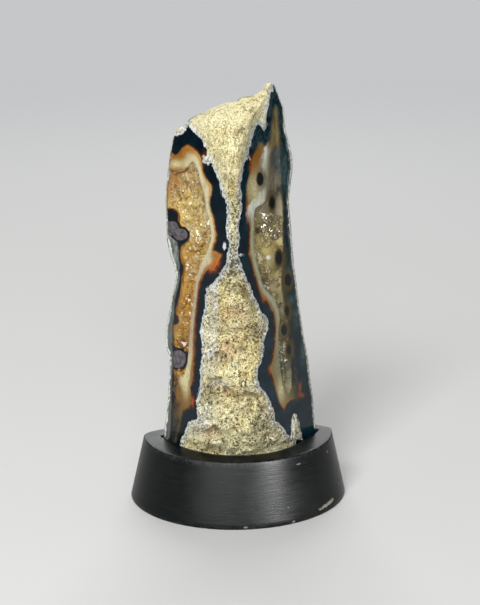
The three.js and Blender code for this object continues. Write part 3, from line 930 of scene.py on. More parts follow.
    def patches(self, board: Board, cut: CutValues, colour: Socket, in_hollow: Socket) -> Socket:
        """Lays the soft patches over the cuts.

        Args:
            board: The node board.
            cut: The shared values.
            colour: The colour below.
            in_hollow: The mask of the hollows.

        Returns:
            The colour.
        """
        patchy = board.step(board.cloud(cut.where, 3.0, 4.0, 0.6), 0.3, 0.6)
        in_bands = board.times(board.step(in_hollow, 0.0, 1.0, 0.9, 0.25), board.step(cut.amber, -0.4, 0.6))
        return board.layers(colour, tuple(
            (board.times(board.math("MULTIPLY", board.own(name), share, clamp=True), strength), shown)
            for name, share, strength, shown in (
                ("dark", board.plus(patchy, 0.25), 0.9, self.shade),
                ("honey", board.step(cut.amber, -0.6, 0.6), 0.8, self.honey),
                ("teal", board.step(patchy, 0.0, 1.0, 0.3, 1.0), 1.0, self.misty),
                ("pale", in_bands, 1.0, self.pale.paint(board, cut.sugar)),
                ("ember", board.step(patchy, 0.0, 1.0, 0.55, 1.0), 0.8,
                 board.mix(patchy, self.flame, self.ember)))))

    def marks(self, board: Board, cut: CutValues, colour: Socket) -> Socket:
        """Lays the marks with wavy edges over the cuts: crumbs, holes, the crack, lobes and spots.

        Args:
            board: The node board.
            cut: The shared values.
            colour: The colour below.

        Returns:
            The colour.
        """
        def wavy(name: str, wave: float) -> Socket:
            """Returns a mark's mask with a wavy edge."""
            return board.plus(board.own(name), board.times(cut.ripple, wave))

        white = board.plus(board.own("white"), board.plus(board.swing(cut.sugar, 2.6), cut.ripple))
        spot, lobe = wavy("spot", 0.6), wavy("lobe", 0.5)
        halo = board.times(board.step(spot, -2.6, -0.6), board.step(cut.side, 0.0, 1.0, 0.0, 0.75),
                           board.step(cut.across, 0.25, 0.4))
        return board.layers(colour, (
            (board.step(white, 0.0, 0.25), self.crumb),
            (board.step(wavy("hole", 1.2), -0.6, 0.5, 0.0, 0.9), self.hole),
            (board.step(wavy("crack", 0.35), 0.1, 0.6, 0.85, 0.0), self.crack),
            (halo, self.halo),
            (board.step(lobe, -1.3, -0.8), self.navy),
            (board.step(lobe, -0.3, 0.4), self.lobe.paint(board, board.cloud(cut.where, 2.6, 4.0, 0.65))),
            (board.step(spot, -0.5, 0.4, 0.0, 0.95), self.spot)))

    def rim(self, board: Board, cut: CutValues, colour: Socket) -> Socket:
        """Lays the pale rim with its white outer line along the cuts' outer edges.

        Args:
            board: The node board.
            cut: The shared values.
            colour: The colour below.

        Returns:
            The colour.
        """
        ragged = board.times(cut.ripple, board.step(cut.side, 0.0, 1.0, 0.3, 0.7))
        edge = board.plus(board.own("rim"), ragged)
        low_left = board.times(board.step(cut.z, 0.16, 0.13), board.step(cut.side, 0.0, 1.0, 0.7, 0.0))
        outermost = board.math("LESS_THAN", edge, board.step(cut.side, 0.0, 1.0, 0.34, 0.5))
        band = board.layers(self.left_rim.paint(board, cut.streaks), (
            (board.step(cut.side, 0.0, 1.0, 0.0, 0.75), self.right_rim.paint(board, cut.streaks)),
            (low_left, board.mix(cut.streaks, self.low_rim.first, self.low_rim.last)),
            (outermost, self.white_line.paint(board, cut.sugar))))
        return board.layers(colour, (
            (board.step(edge, 1.2, 1.7, 0.7, 0.0), self.rim_line),
            (board.step(edge, 1.05, 1.25, 1.0, 0.0), band)))

    def agate(self, board: Board, where: Socket) -> tuple[Socket, Socket]:
        """Colours the polished cuts.

        Args:
            board: The node board.
            where: The piece's coordinates.

        Returns:
            The colour and a mask of the hollows.
        """
        masks = {name: board.own(name) for name in ("side", "across", "amber", "hollow")}
        cut = CutValues(
            where=where, z=board.height(where), **masks,
            streaks=board.cloud(board.stretch(where, (1.0, 1.0, 0.35)), 3.0, 4.0, 0.6),
            sugar=board.cloud(where, 1.1, 4.0, 0.7), ripple=board.swing(board.cloud(where, 1.6, 3.0), 1.4))
        depths = board.cloud(where, 9.0, 4.0)
        ground = board.mix(board.step(depths, 0.35, 0.65, 0.2, 0.9), self.navy, self.teal)
        # The right face's navy takes more teal than the left's: partly the stone's own bluish tint, partly a
        # painted reflection of a blue surround.
        ground = board.mix(board.step(cut.side, 0.0, 1.0, 0.25, 1.0), self.navy, ground)
        up = board.spread(cut.z, 0.03, 0.25)
        colour = board.blend(cut.side, -0.5, 0.5, self.left_face(board, cut, ground, up),
                             self.right_face(board, cut, ground, up))
        in_hollow = board.step(board.plus(cut.hollow, board.times(cut.sugar, 0.8)), 0.2, 0.8)
        colour = board.mix(in_hollow, colour, self.floor(board, cut))
        colour = self.marks(board, cut, self.patches(board, cut, colour, in_hollow))
        return self.rim(board, cut, colour), in_hollow

    def make(self) -> Material:
        """Builds the material.

        Returns:
            The material.
        """
        material, board, shader = new_material("agate_stone")
        where = board.place()
        height = board.plus(board.own("rind"), board.swing(board.cloud(where, 2.2, 4.0, 0.65), 3.4))
        rind_colour, rind_height = self.rind(board, where, height)
        agate_colour, in_hollow = self.agate(board, where)
        is_rind = board.step(height, -0.2, 0.2)
        board.feed(shader.inputs["Base Color"], board.mix(is_rind, agate_colour, rind_colour))
        polish = board.step(in_hollow, 0.0, 1.0, 0.13, 0.6)
        scuff = board.step(board.cloud(where, 6.0, 5.0, 0.7), 0.5, 0.8, 0.0, 0.12)
        roughness = board.add("ShaderNodeMix", {"Factor": is_rind, 2: board.plus(polish, scuff), 3: 0.88})
        board.feed(shader.inputs["Roughness"], roughness.outputs[0])
        shader.inputs["IOR"].default_value = 1.54
        shader.inputs["Specular IOR Level"].default_value = 0.15
        raised = board.times(board.plus(rind_height, 0.8), is_rind)
        board.feed(shader.inputs["Normal"], board.bump(raised, 0.9))
        return material


@dataclass(frozen=True)
class CrystalFinish:
    """Clear quartz points, tinted along their height in the hollow."""

    name: str
    stops: tuple
    painted_glint: tuple
    deep: tuple
    pale: tuple
    brown: tuple
    streaked: float
    dullest: float
    glint: float

    def make(self) -> Material:
        """Builds the material.

        Returns:
            The material.
        """
        material, board, shader = new_material(self.name)
        where = board.place()
        z = board.height(where)
        cluster = board.cloud(where, 7.0, 3.0, 0.6, 0.5)
        hue = board.add("ShaderNodeSeparateColor", {0: board.cell(where, 5.5).outputs["Color"]}).outputs[0]
        clump = board.cell(where, 5.5, "DISTANCE_TO_EDGE").outputs["Distance"]
        clump = board.plus(clump, board.swing(board.cloud(where, 5.0, 3.0), 0.5))
        streaks = board.cloud(board.stretch(where, (1.0, 1.0, 0.16)), 1.7, 3.0, 0.6)
        upper = board.step(z, 0.168, 0.182)
        veil = board.cloud(where, 1.4, 4.0, 0.6)
        colour = board.layers(board.ramp(board.spread(z, 0.06, 0.23), self.stops), (
            (board.step(cluster, 0.42, 0.66, 0.0, 0.4), self.deep, "MULTIPLY"),
            (board.step(hue, 0.3, 0.9, 0.0, 0.35), self.deep, "MULTIPLY"),
            (board.times(board.own("bright"), 0.75), self.pale),
            (board.times(board.own("brown"), 0.7), self.brown),
            # Painted shade in the seams between rounded clumps of points: darker towards the edges of 5.5 mm
            # cells.
            (board.step(clump, 0.02, 0.22, 0.45, 0.0), self.deep, "MULTIPLY"),
            (board.times(board.step(streaks, 0.5, 0.68), upper, 0.6), self.deep, "MULTIPLY"),
            (board.times(board.step(streaks, 0.5, 0.36), upper, self.streaked), self.pale),
            # Painted glints: the glint white on the few points with the highest shade value, and thinly as a
            # painted sheen where the veil noise is high.
            (board.step(board.own("shade"), 0.96, 0.995, 0.0, 0.95), self.painted_glint),
            (board.step(veil, 0.5, 0.75, 0.0, 0.25), self.painted_glint)))
        board.feed(shader.inputs["Base Color"], colour)
        board.feed(shader.inputs["Roughness"], board.step(veil, 0.3, 0.7, 0.08, self.dullest))
        shader.inputs["Transmission Weight"].default_value = 0.35
        shader.inputs["IOR"].default_value = 1.544
        shader.inputs["Specular IOR Level"].default_value = self.glint
        board.feed(shader.inputs["Normal"], board.bump(board.cloud(where, 0.5, 3.0, 0.6), 0.06, 0.5))
        return material


GOLDEN = CrystalFinish(
    "golden_crystals",
    stops=((0.0, tone(214, 176, 86)), (1.0, tone(226, 214, 176)), (0.22, tone(214, 176, 84)),
           (0.45, tone(220, 172, 74)), (0.56, tone(230, 204, 112)), (0.72, tone(232, 212, 130)),
           (0.78, tone(222, 202, 146))),
    painted_glint=tone(255, 250, 232), deep=tone(170, 124, 60), pale=tone(222, 214, 176),
    brown=tone(140, 98, 52), streaked=0.75, dullest=0.3, glint=0.4)
GREY = CrystalFinish(
    "grey_crystals",
    stops=((0.0, tone(156, 150, 102)), (1.0, tone(44, 48, 46)), (0.2, tone(82, 78, 48)),
           (0.4, tone(136, 126, 78)), (0.58, tone(214, 198, 128)), (0.7, tone(136, 126, 88)),
           (0.76, tone(56, 57, 52))),
    painted_glint=tone(236, 234, 216), deep=tone(158, 142, 102), pale=tone(206, 198, 156),
    brown=tone(104, 86, 50), streaked=0.12, dullest=0.5, glint=0.22)


@dataclass(frozen=True)
class LacquerFinish:
    """Black lacquered wood with fine level grain, worn edges, a chip and a few pale specks."""

    speckles: bpy.types.NodeTree
    black: tuple = tone(6, 8, 9)
    grain_tone: tuple = tone(19, 22, 23)
    faded: tuple = tone(24, 26, 25)
    worn: tuple = tone(62, 62, 66)
    dust: tuple = tone(170, 170, 166)
    bare_wood: tuple = tone(168, 162, 148)
    chips: tuple = (
        ((44.9, -20.9, 3.6), (49.4, -17, 4.0), 1.3), ((49.0, -17.4, 4.0), (54.0, -11.9, 4.9), 1.9))
    specks: tuple = (
        ((27.8, -30.8, 1.4), (28.8, -30.4, 1.5), 0.7), ((-0.8, -35.7, 1.6), (0.4, -35.7, 1.6), 0.7),
        ((31.1, -22.4, 33.9), (32.9, -21.5, 33.9), 0.5), ((51, -5.7, 34.2), (51.8, -5.1, 32.7), 0.5),
        ((25, -29.9, 10.6), (25.2, -29.8, 10.0), 0.4), ((58.8, -2.1, 11.1), (58.9, -2.0, 10.2), 0.5))

    def in_strokes(self, board: Board, where: Socket, strokes: tuple) -> Socket:
        """How far inside the nearest of some round-ended strokes each place is.

        Args:
            board: The node board.
            where: The piece's coordinates.
            strokes: Start, end and half width of each stroke, in millimetres.

        Returns:
            A share of the half width, 1 in the stroke's middle, 0 at its edge and negative outside.
        """
        def vectors(operation: str, inputs: dict, output: str = "Vector") -> Socket:
            """Returns the result of a sum of vectors."""
            return board.add("ShaderNodeVectorMath", inputs, operation=operation).outputs[output]

        shares = []
        for first, last, radius in strokes:
            start, run = Vector(first) * MM, (Vector(last) - Vector(first)) * MM
            reach = vectors("SUBTRACT", {0: where, 1: start})
            along = vectors("DOT_PRODUCT", {0: reach, 1: run / run.length_squared}, "Value")
            foot = vectors("SCALE", {0: run, "Scale": board.math("ADD", along, 0.0, clamp=True)})
            away = vectors("DISTANCE", {0: reach, 1: foot}, "Value")
            shares.append(board.minus(1.0, board.math("DIVIDE", away, radius * MM)))
        return board.largest(-1.0, *shares)

    def make(self) -> Material:
        """Builds the material.

        Returns:
            The material.
        """
        material, board, shader = new_material("black_wood")
        where = board.place()
        grain = board.cloud(board.stretch(where, (0.06, 0.06, 1.0)), 0.7, 5.0, 0.65, 0.3)
        patches = board.cloud(where, 26.0, 3.0, 0.5, 0.6)
        ragged = board.step(board.cloud(where, 2.4, 5.0, 0.7), 0.45, 0.62)
        dust = board.group(self.speckles, {"Vector": where, "Scale": 120.0, "Share": 0.04, "Width": 0.04})
        inside = self.in_strokes(board, where, self.chips)
        splinters = board.swing(board.cloud(where, 0.9, 4.0, 0.75), 3.0)
        chip = board.times(board.step(board.plus(inside, splinters), 0.35, 0.6),
                           board.step(inside, -0.1, 0.15, 0.0, 0.9))
        speck = board.step(self.in_strokes(board, where, self.specks), 0.0, 0.6, 0.0, 0.6)
        bare = board.largest(chip, speck)
        colour = board.layers(self.black, (
            (board.step(grain, 0.42, 0.75), self.grain_tone),
            (board.step(patches, 0.45, 0.75, 0.0, 0.4), self.faded),
            (board.times(board.own("edge"), ragged, 0.55), self.worn),
            (board.times(dust, 0.4), self.dust),
            (bare, self.bare_wood)))
        board.feed(shader.inputs["Base Color"], colour)
        sheen = board.plus(board.step(grain, 0.3, 0.8, 0.0, 0.14), board.step(patches, 0.3, 0.8, 0.0, 0.08))
        board.feed(shader.inputs["Roughness"], board.plus(board.plus(sheen, 0.26), board.times(bare, 0.4)))
        shader.inputs["Specular IOR Level"].default_value = 0.16
        pores = board.plus(grain, board.times(board.cloud(where, 0.5, 2.0), 0.25))
        board.feed(shader.inputs["Normal"], board.bump(board.minus(pores, board.times(bare, 0.8)), 0.12, 0.5))
        return material


# Pieces

def finish_piece(mesh: bmesh.types.BMesh, name: str, material: Material, node: str,
                 level: bool = True) -> None:
    """Turns a finished bmesh in millimetres into a piece that stands for a CAD node.

    Args:
        mesh: The geometry, which is used up.
        name: The piece's name.
        material: Its material.
        node: The CAD node that it replaces.
        level: Whether the faces are shaded smooth.
    """
    bmesh.ops.scale(mesh, vec=Vector((MM, MM, MM)), verts=mesh.verts)
    for face in mesh.faces:
        face.smooth = level
    data = bpy.data.meshes.new(name)
    mesh.to_mesh(data)
    mesh.free()
    data.materials.append(material)
    piece = bpy.data.objects.new(name, data)
    bpy.context.scene.collection.objects.link(piece)
    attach(piece, "root")
    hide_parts(node)
    log.info("%s: %d faces", name, len(data.polygons))


@dataclass(frozen=True)
class Lump:
    """A rise or a dent of the rind, in millimetres."""

    x: float
    z: float
    radius: float
    rise: float


@dataclass(frozen=True)
class RindRelief:
    """Knobs, swells, crumbs and pits of natural rind: their sizes, rises and places in millimetres."""

    knob: float
    knob_rise: float
    knob_level: float
    swell: float
    swell_rise: float
    crumb: float
    crumb_rise: float
    pit: float
    pit_wall: float
    pit_from: float
    shifts: tuple[float, float, float, float]
    crumb_level: float = 0.45
    pit_radius: float = 0.42

    def at(self, points: Array, boost: Array | float = 1.0) -> tuple[Array, Array]:
        """Works out the relief at points.

        Args:
            points: The points, in millimetres.
            boost: How many times higher the knobs are than usual.

        Returns:
            How far the points rise, and how deep in a pit each is, from 0 to 1.
        """
        knobs, _ = cells(points + self.shifts[0], self.knob)
        crumbs, _ = cells(points + self.shifts[1], self.crumb)
        pits, chance = cells(points + self.shifts[2], self.pit)
        rise = boost * (self.knob_level - knobs) * self.knob_rise
        rise += self.swell_rise * fractal(points + self.shifts[3], self.swell, 4)
        rise += self.crumb_rise * (self.crumb_level - crumbs)
        return rise, smooth(self.pit_radius - pits, 0, self.pit_wall) * (chance > self.pit_from)


FRONT_RELIEF = RindRelief(knob=8.5, knob_rise=2.1, knob_level=0.55, swell=9.0, swell_rise=1.3, crumb=3.4,
                          crumb_rise=1.8, pit=2.2, pit_wall=0.22, pit_from=0.35, shifts=(0, 40, -90, 0))
BACK_RELIEF = RindRelief(knob=9.5, knob_rise=3.0, knob_level=0.5, swell=14.0, swell_rise=2.6, crumb=4.0,
                         crumb_rise=1.3, pit=3.0, pit_wall=0.25, pit_from=0.5, shifts=(70, -30, 150, 9))


@dataclass
class Geode:
    """The stone: two polished saw cuts with hollows, and natural rind in front, behind and on top."""

    view: PhotoView
    sole: float = 27.3
    tops: tuple = (222.0, 227.5, 248.7, 247.0)
    crest_depth: float = 15.5
    cut_columns: int = 56
    strip_columns: int = 80
    back_columns: int = 64
    stone_rows: int = 300
    strip_bulge: tuple = ((27, 15), (39, 17), (50, 16.5), (62, 14), (80, 10.5), (100, 9), (140, 7.5),
                          (165, 2.5), (185, 2), (200, 4.5), (212, 7.5), (240, 7.5))
    back_bulge: tuple = ((27, 7.5), (60, 9), (150, 10), (200, 9), (225, 6.5), (245, 4))
    roundness: float = 2.4
    crest_rounding: float = 0.1
    natural_from: Pair = (38, 43)
    front_lumps: tuple[Lump, ...] = (
        Lump(-25, 47, 9, 1.6), Lump(-18, 40, 7, -4.5), Lump(4, 52, 17, 2.2), Lump(24, 47, 8, 2),
        Lump(5, 74, 5, -3.5), Lump(-12, 70, 8, 2.2), Lump(-14, 96, 6, -1.8), Lump(-8, 118, 10, 1.8),
        Lump(6, 112, 6, 1.2), Lump(-6, 138, 6, -1.4), Lump(-8, 214, 9, 1.6), Lump(6, 230, 7, 1.2))
    back_lumps: tuple[Lump, ...] = (
        Lump(-18, 70, 16, 2), Lump(16, 96, 14, -2), Lump(-8, 132, 18, 2.2), Lump(14, 168, 13, 1.8),
        Lump(-20, 190, 12, -2))
    full_relief_width: float = 22.0
    lumpy_foot: Pair = (90, 55)
    border_ridge: float = 0.8
    front_pits: float = 1.1
    back_pits: float = 0.9
    hollow_depth: float = 7.0
    hollow_slope: float = 3.2
    floor_rough: float = 0.35
    spot_collar: float = 1.0
    shallow_above: Pair = (180.0, 190.0)
    shallow_share: float = 0.8
    ledge_width: float = 1.4
    ledge_depth: float = 2.6
    cleft_depth: float = 2.0
    edge_crumbs: float = 0.9
    highest: float = 248.9
    cluster_size: float = 8.0
    cluster_rise: float = 0.5

    def __post_init__(self) -> None:
        """Works out the borders of the strip and of the cut faces from the photograph's outlines."""
        self.columns = 2 * self.cut_columns + self.strip_columns
        crease = RIND_RIGHT_CREASE + RIND_RIGHT
        pairs = ((LEFT_EDGE, LEFT_CUT), (RIND_LEFT, LEFT_CUT), (crease, RIGHT_CUT), (RIGHT_EDGE, RIGHT_CUT))
        self.borders = [(self.border_line(outline, cut), cut) for outline, cut in pairs]
        self.crest = self.view.on_plane(rows(CREST), rows((0, 1, 0)), self.crest_depth)[:, [0, 2]]
        self.scale = -rows(self.view.place)[1] / self.view.focal

    def border_line(self, outline: tuple, cut: CutFace) -> Array:
        """Turns an outline into a line on a cut face.

        Args:
            outline: The outline in pixels, from the top down.
            cut: The cut face.

        Returns:
            Rows of height and x, rising.
        """
        points = self.view.on_plane(rows(outline), cut.normal, cut.level)
        heights = np.minimum.accumulate(points[:, 2]) - 0.01 * np.arange(len(points))
        return np.column_stack((heights, points[:, 0]))[::-1]

    def border_points(self, v: Array) -> list[Array]:
        """Finds the points of the four borders at rows.

        Args:
            v: Share of the height of each row.

        Returns:
            The points of each border.
        """
        heights = [self.sole + (top - self.sole) * v for top in self.tops]
        return [cut.at(along(z, line), z) for (line, cut), z in zip(self.borders, heights)]

    def lump_rise(self, lumps: tuple[Lump, ...], points: Array) -> Array:
        """Returns the rise of all lumps at the points."""
        reach = [((points[:, 0] - m.x) ** 2 + (points[:, 2] - m.z) ** 2) / m.radius ** 2 for m in lumps]
        return sum(m.rise * np.exp(-2 * r) for m, r in zip(lumps, reach))

    def arch(self, across: Array) -> Array:
        """Returns the height of a rounded arch over shares of its width."""
        return 1 - np.abs(2 * across - 1) ** self.roundness

    def front_plain(self, u: Array, v: Array) -> tuple[Array, Array, Array]:
        """Front surface before its relief.

        Args:
            u: Share of the width.
            v: Share of the height.

        Returns:
            The points, the part of the front that each is in, and the share across that part.
        """
        spans = np.cumsum((0, self.cut_columns, self.strip_columns, self.cut_columns)) / self.columns
        part = np.clip(np.searchsorted(spans, u - 1e-9) - 1, 0, 2)
        across = (u - spans[part]) / (spans[part + 1] - spans[part])
        borders = np.stack(self.border_points(v))
        index = np.arange(len(u))
        start, end = borders[part, index], borders[part + 1, index]
        points = start + across[:, None] * (end - start)
        crest = along(points[:, 0], self.crest)
        points[:, 2] += (part == 1) * (crest - points[:, 2]) * smooth(v, 0.75, 1)
        return points, part, across

    def strip_relief(self, points: Array, across: Array, v: Array,
                     width: Array) -> tuple[Array, Array]:
        """How far the strip of rind stands out.

        Args:
            points: The strip's points before their relief.
            across: Share across the strip.
            v: Share of the height.
            width: Width of the strip at each point, in millimetres.

        Returns:
            The distances and the depth of the pits, from 0 to 1.
        """
        arch, z = self.arch(across), points[:, 2]
        natural = smooth(z, *self.natural_from)
        room = np.minimum(1, width / self.full_relief_width)
        from_border = np.minimum(across, 1 - across) * width
        rise, pit = FRONT_RELIEF.at(points, 0.9 + 1.3 * smooth(z, *self.lumpy_foot))
        ridge = np.exp(-((from_border - 1.0) / 0.9) ** 2) * (0.5 + fractal(points, 2.2, 3))
        relief = (room * smooth(from_border, 0, 2.5) * rise + self.border_ridge * ridge
                  - self.front_pits * pit * smooth(from_border, 0, 0.8))
        swell = arch * (along(z, self.strip_bulge) + self.lump_rise(self.front_lumps, points))
        crown, below = smooth(v, 0.97, 1.0), 1 - smooth(v, 0.88, 1)
        return below * swell + natural * relief * (1 - crown), pit * natural

    def faces_fields(self, seen: Array, part: Array) -> dict[str, Array]:
        """Masks of the front in millimetres as seen: rind, amber, hollow, rim, spots, lobes and glows.

        Args:
            seen: Pixels where the points are seen.
            part: The part of the front that each point is in.

        Returns:
            The values by name.
        """
        below, above = ((180, 620), (300, 620)), ((274, 70), (187, 70))
        strip = RIND_LEFT + below + (RIND_RIGHT_TONGUE + RIND_RIGHT)[::-1] + above
        rind = np.max([signed_distance(seen, rows(outline))
                       for outline in (strip, RIND_FINGER, RIND_BUMP, RIND_PATCH)], axis=0)
        left = part == 0
        amber = np.where(left, *(signed_distance(seen, rows(line)) for line in (LEFT_AMBER, RIGHT_AMBER)))
        edge = np.where(left, *(distance_to_line(seen, rows(line)) for line in (LEFT_EDGE, RIGHT_EDGE)))
        width = np.where(left, *(along(seen[:, 1], table) for table in (LEFT_RIM, RIGHT_RIM)))
        hollow = np.where(left, *(self.inside_hollow(seen, side) for side in Side))
        crumbs = np.minimum(0.5 * width * self.scale, self.edge_crumbs) - edge * self.scale
        rind = np.where(part == 1, rind * self.scale, np.maximum(rind * self.scale, crumbs))
        fields = {"rind": rind, "amber": amber * self.scale, "hollow": hollow, "rim": edge / width,
                  "crack": distance_to_line(seen, rows(CRACK)) * self.scale}
        fields.update({name: inside_marks(seen, marks) * self.scale for name, marks in SHARP_MARKS.items()})
        fields.update({name: glow_of_marks(seen, marks) for name, marks in SOFT_MARKS.items()})
        return fields

    def inside_hollow(self, seen: Array, side: Side) -> Array:
        """Distance inside a hollow's rim or outside the dark spots in it, in millimetres as seen.

        Args:
            seen: Pixels of the points.
            side: The cut face that they are on.

        Returns:
            The distances, negative outside the hollow.
        """
        inside = signed_distance(seen, rows(LEFT_HOLLOW if side is Side.LEFT else RIGHT_HOLLOW))
        return np.minimum(inside, -inside_marks(seen, DARK_SPOTS) - self.spot_collar) * self.scale

    def sunk(self, points: Array, hollow: Array) -> Array:
        """Depth of a hollow under points of the cut face.

        Args:
            points: The points, in millimetres.
            hollow: Distance of each inside the hollow's rim.

        Returns:
            The depths, less where a rounded cluster of crystals stands.
        """
        bowl = self.hollow_depth * (1 - np.exp(-np.maximum(hollow, 0) / self.hollow_slope))
        bowl *= 1 - self.shallow_share * smooth(points[:, 2], *self.shallow_above) * (points[:, 0] > 0)
        nearest, _ = cells(points + 11, self.cluster_size)
        return bowl * (1 - self.cluster_rise * smooth(0.75 - nearest, 0, 0.7))

    def front(self, u: Array, v: Array) -> tuple[Array, dict[str, Array]]:
        """The whole front surface.

        Args:
            u: Share of the width.
            v: Share of the height.

        Returns:
            The points and the masks by name.
        """
        points, part, across = self.front_plain(u, v)
        borders = self.border_points(v)
        width = borders[2][:, 0] - borders[1][:, 0]
        fields = self.faces_fields(self.view.project(points), part)
        strip = part == 1
        fields["side"] = np.where(part == 0, -1.0, 1.0)
        fields["across"] = across
        fields.update({name: np.zeros(len(u)) for name in ("pit", "ledge", *RIND_PATCHES)})
        relief, pit = self.strip_relief(points[strip], across[strip], v[strip], width[strip])
        fields["pit"][strip] = pit
        points[strip, 1] -= relief
        bulged = self.view.project(points[strip])
        for name, marks in RIND_PATCHES.items():
            fields[name][strip] = glow_of_marks(bulged, marks)
        # Painted shadow: the ledge mask below darkens the rind along the ledges and over the holes, besides
        # denting it.
        from_ledge = np.min([distance_to_line(bulged, rows(line)) for line in LEDGES], axis=0) * self.scale
        ledge = np.exp(-(from_ledge / self.ledge_width) ** 2) * (0.75 + 0.4 * fractal(points[strip], 6.0, 2))
        ledge = np.maximum(ledge, glow_of_marks(bulged, RIND_HOLES))
        fields["ledge"][strip] = ledge
        points[strip, 1] += self.ledge_depth * ledge
        for chosen, cut in ((part == 0, LEFT_CUT), (part == 2, RIGHT_CUT)):
            face, hollow, share = points[chosen], fields["hollow"][chosen], across[chosen]
            rough = self.floor_rough * fractal(face, 3.0, 3)
            deep = self.sunk(face, hollow) + rough * smooth(hollow, 0.2, 1.5)
            raised = smooth(fields["rind"][chosen], 0.1, 1.2) * (0.7 + 0.8 * fractal(face + 20, 2.5, 3))
            raised = raised * smooth(share * (1 - share), 0, 0.02)
            points[chosen] += (raised - deep)[:, None] * cut.normal
        points[:, 2] = np.minimum(points[:, 2], self.highest)
        return points, fields

    def back(self, u: Array, v: Array) -> tuple[Array, Array]:
        """The natural surface behind, which meets the front along the sides and the crest.

        Args:
            u: Share of the width.
            v: Share of the height.

        Returns:
            The points and the depth of the pits, from 0 to 1.
        """
        points, _, _ = self.front_plain(u, v)
        left, _, _, right = self.border_points(v)
        front_y = points[:, 1].copy()
        across = np.clip((points[:, 0] - left[:, 0]) / (right[:, 0] - left[:, 0]), 0, 1)
        arch = self.arch(across)
        natural = smooth(points[:, 2], *self.natural_from)
        rise, pit = BACK_RELIEF.at(points)
        rough = rise - self.back_pits * pit - self.cleft_depth * self.clefts(points)
        relief = natural * (smooth(arch, 0, 0.25) * rough + arch * self.lump_rise(self.back_lumps, points))
        swell = arch * along(points[:, 2], self.back_bulge)
        rear = left[:, 1] + across * (right[:, 1] - left[:, 1]) + swell + relief
        to_crest = np.clip((v - 1 + self.crest_rounding) / self.crest_rounding, 0, 1)
        points[:, 1] = front_y + (rear - front_y) * np.sqrt(1 - to_crest ** 2)
        points[:, 2] = np.minimum(points[:, 2], self.highest)
        return points, pit * natural

    def clefts(self, points: Array) -> Array:
        """Returns how deep points of the back lie in its winding clefts, from 0 to 1."""
        winding = np.exp(-(fractal(points + 60, 34.0, 4) / 0.035) ** 2)
        return winding * smooth(fractal(points - 25, 28.0, 2), -0.1, 0.3)

    def back_fields(self, points: Array, pits: Array) -> dict[str, Array]:
        """Masks of the back: weathered patches, pits and clefts on rind that no cut reaches.

        Args:
            points: The points of the back, in millimetres.
            pits: How deep in a pit each is, from 0 to 1.

        Returns:
            The values by name.
        """
        outside = {name: np.full(len(points), value) for name, value in NO_CUT.items()}
        # The clefts fill the ledge mask, which paints shade in them.
        return {**outside, "pit": pits, "ledge": self.clefts(points),
                "frost": 0.8 * smooth(fractal(points + 33, 18.0, 4), 0.15, 0.5),
                "moss": smooth(fractal(points - 51, 24.0, 4), 0.05, 0.4),
                "ochre": smooth(fractal(points + 77, 26.0, 4), 0.0, 0.4),
                "blush": smooth(fractal(points - 14, 16.0, 3), 0.3, 0.6)}

    def lay(self, verts: list, points: Array, fields: dict[str, Array], layers: dict) -> None:
        """Moves the vertices of a grid to their points and gives them their masks.

        Args:
            verts: The vertices.
            points: Their points, in millimetres.
            fields: The values by name.
            layers: The mesh's layer of each name.
        """
        for index, vert in enumerate(verts):
            vert.co = points[index]
            for name, values in fields.items():
                vert[layers[name]] = values[index]

    def build(self, material: Material) -> None:
        """Models the stone as one closed mesh.

        Args:
            material: The stone's material.
        """
        mesh = bmesh.new()
        layers = {name: mesh.verts.layers.float.new(name) for name in MASKS}
        bmesh.ops.create_grid(mesh, x_segments=self.back_columns, y_segments=self.stone_rows, size=0.5)
        crest = [edge for edge in mesh.edges if min(vert.co.y for vert in edge.verts) > 0.5 - 1e-6]
        bmesh.ops.subdivide_edges(mesh, edges=crest, cuts=self.columns // self.back_columns - 1)
        back = list(mesh.verts)
        points, pits = self.back(*self.shares(back))
        self.lay(back, points, self.back_fields(points, pits), layers)
        grid = bmesh.ops.create_grid(mesh, x_segments=self.columns, y_segments=self.stone_rows, size=0.5)
        front = grid["verts"]
        self.lay(front, *self.front(*self.shares(front)), layers)
        bmesh.ops.remove_doubles(mesh, verts=[vert for vert in mesh.verts if vert.is_boundary], dist=1e-3)
        bmesh.ops.edgeloop_fill(mesh, edges=[edge for edge in mesh.edges if edge.is_boundary])
        bmesh.ops.triangulate(mesh, faces=[face for face in mesh.faces if len(face.verts) > 4])
        bmesh.ops.recalc_face_normals(mesh, faces=mesh.faces)
        log.info("geode: %d open edges", sum(not edge.is_manifold for edge in mesh.edges))
        finish_piece(mesh, "geode_stone", material, "geode")

    def shares(self, verts: list) -> tuple[Array, Array]:
        """Returns where the vertices of a new unit grid lie, as shares of its width and height."""
        flat = np.array([vert.co[:2] for vert in verts])
        return flat[:, 0] + 0.5, flat[:, 1] + 0.5


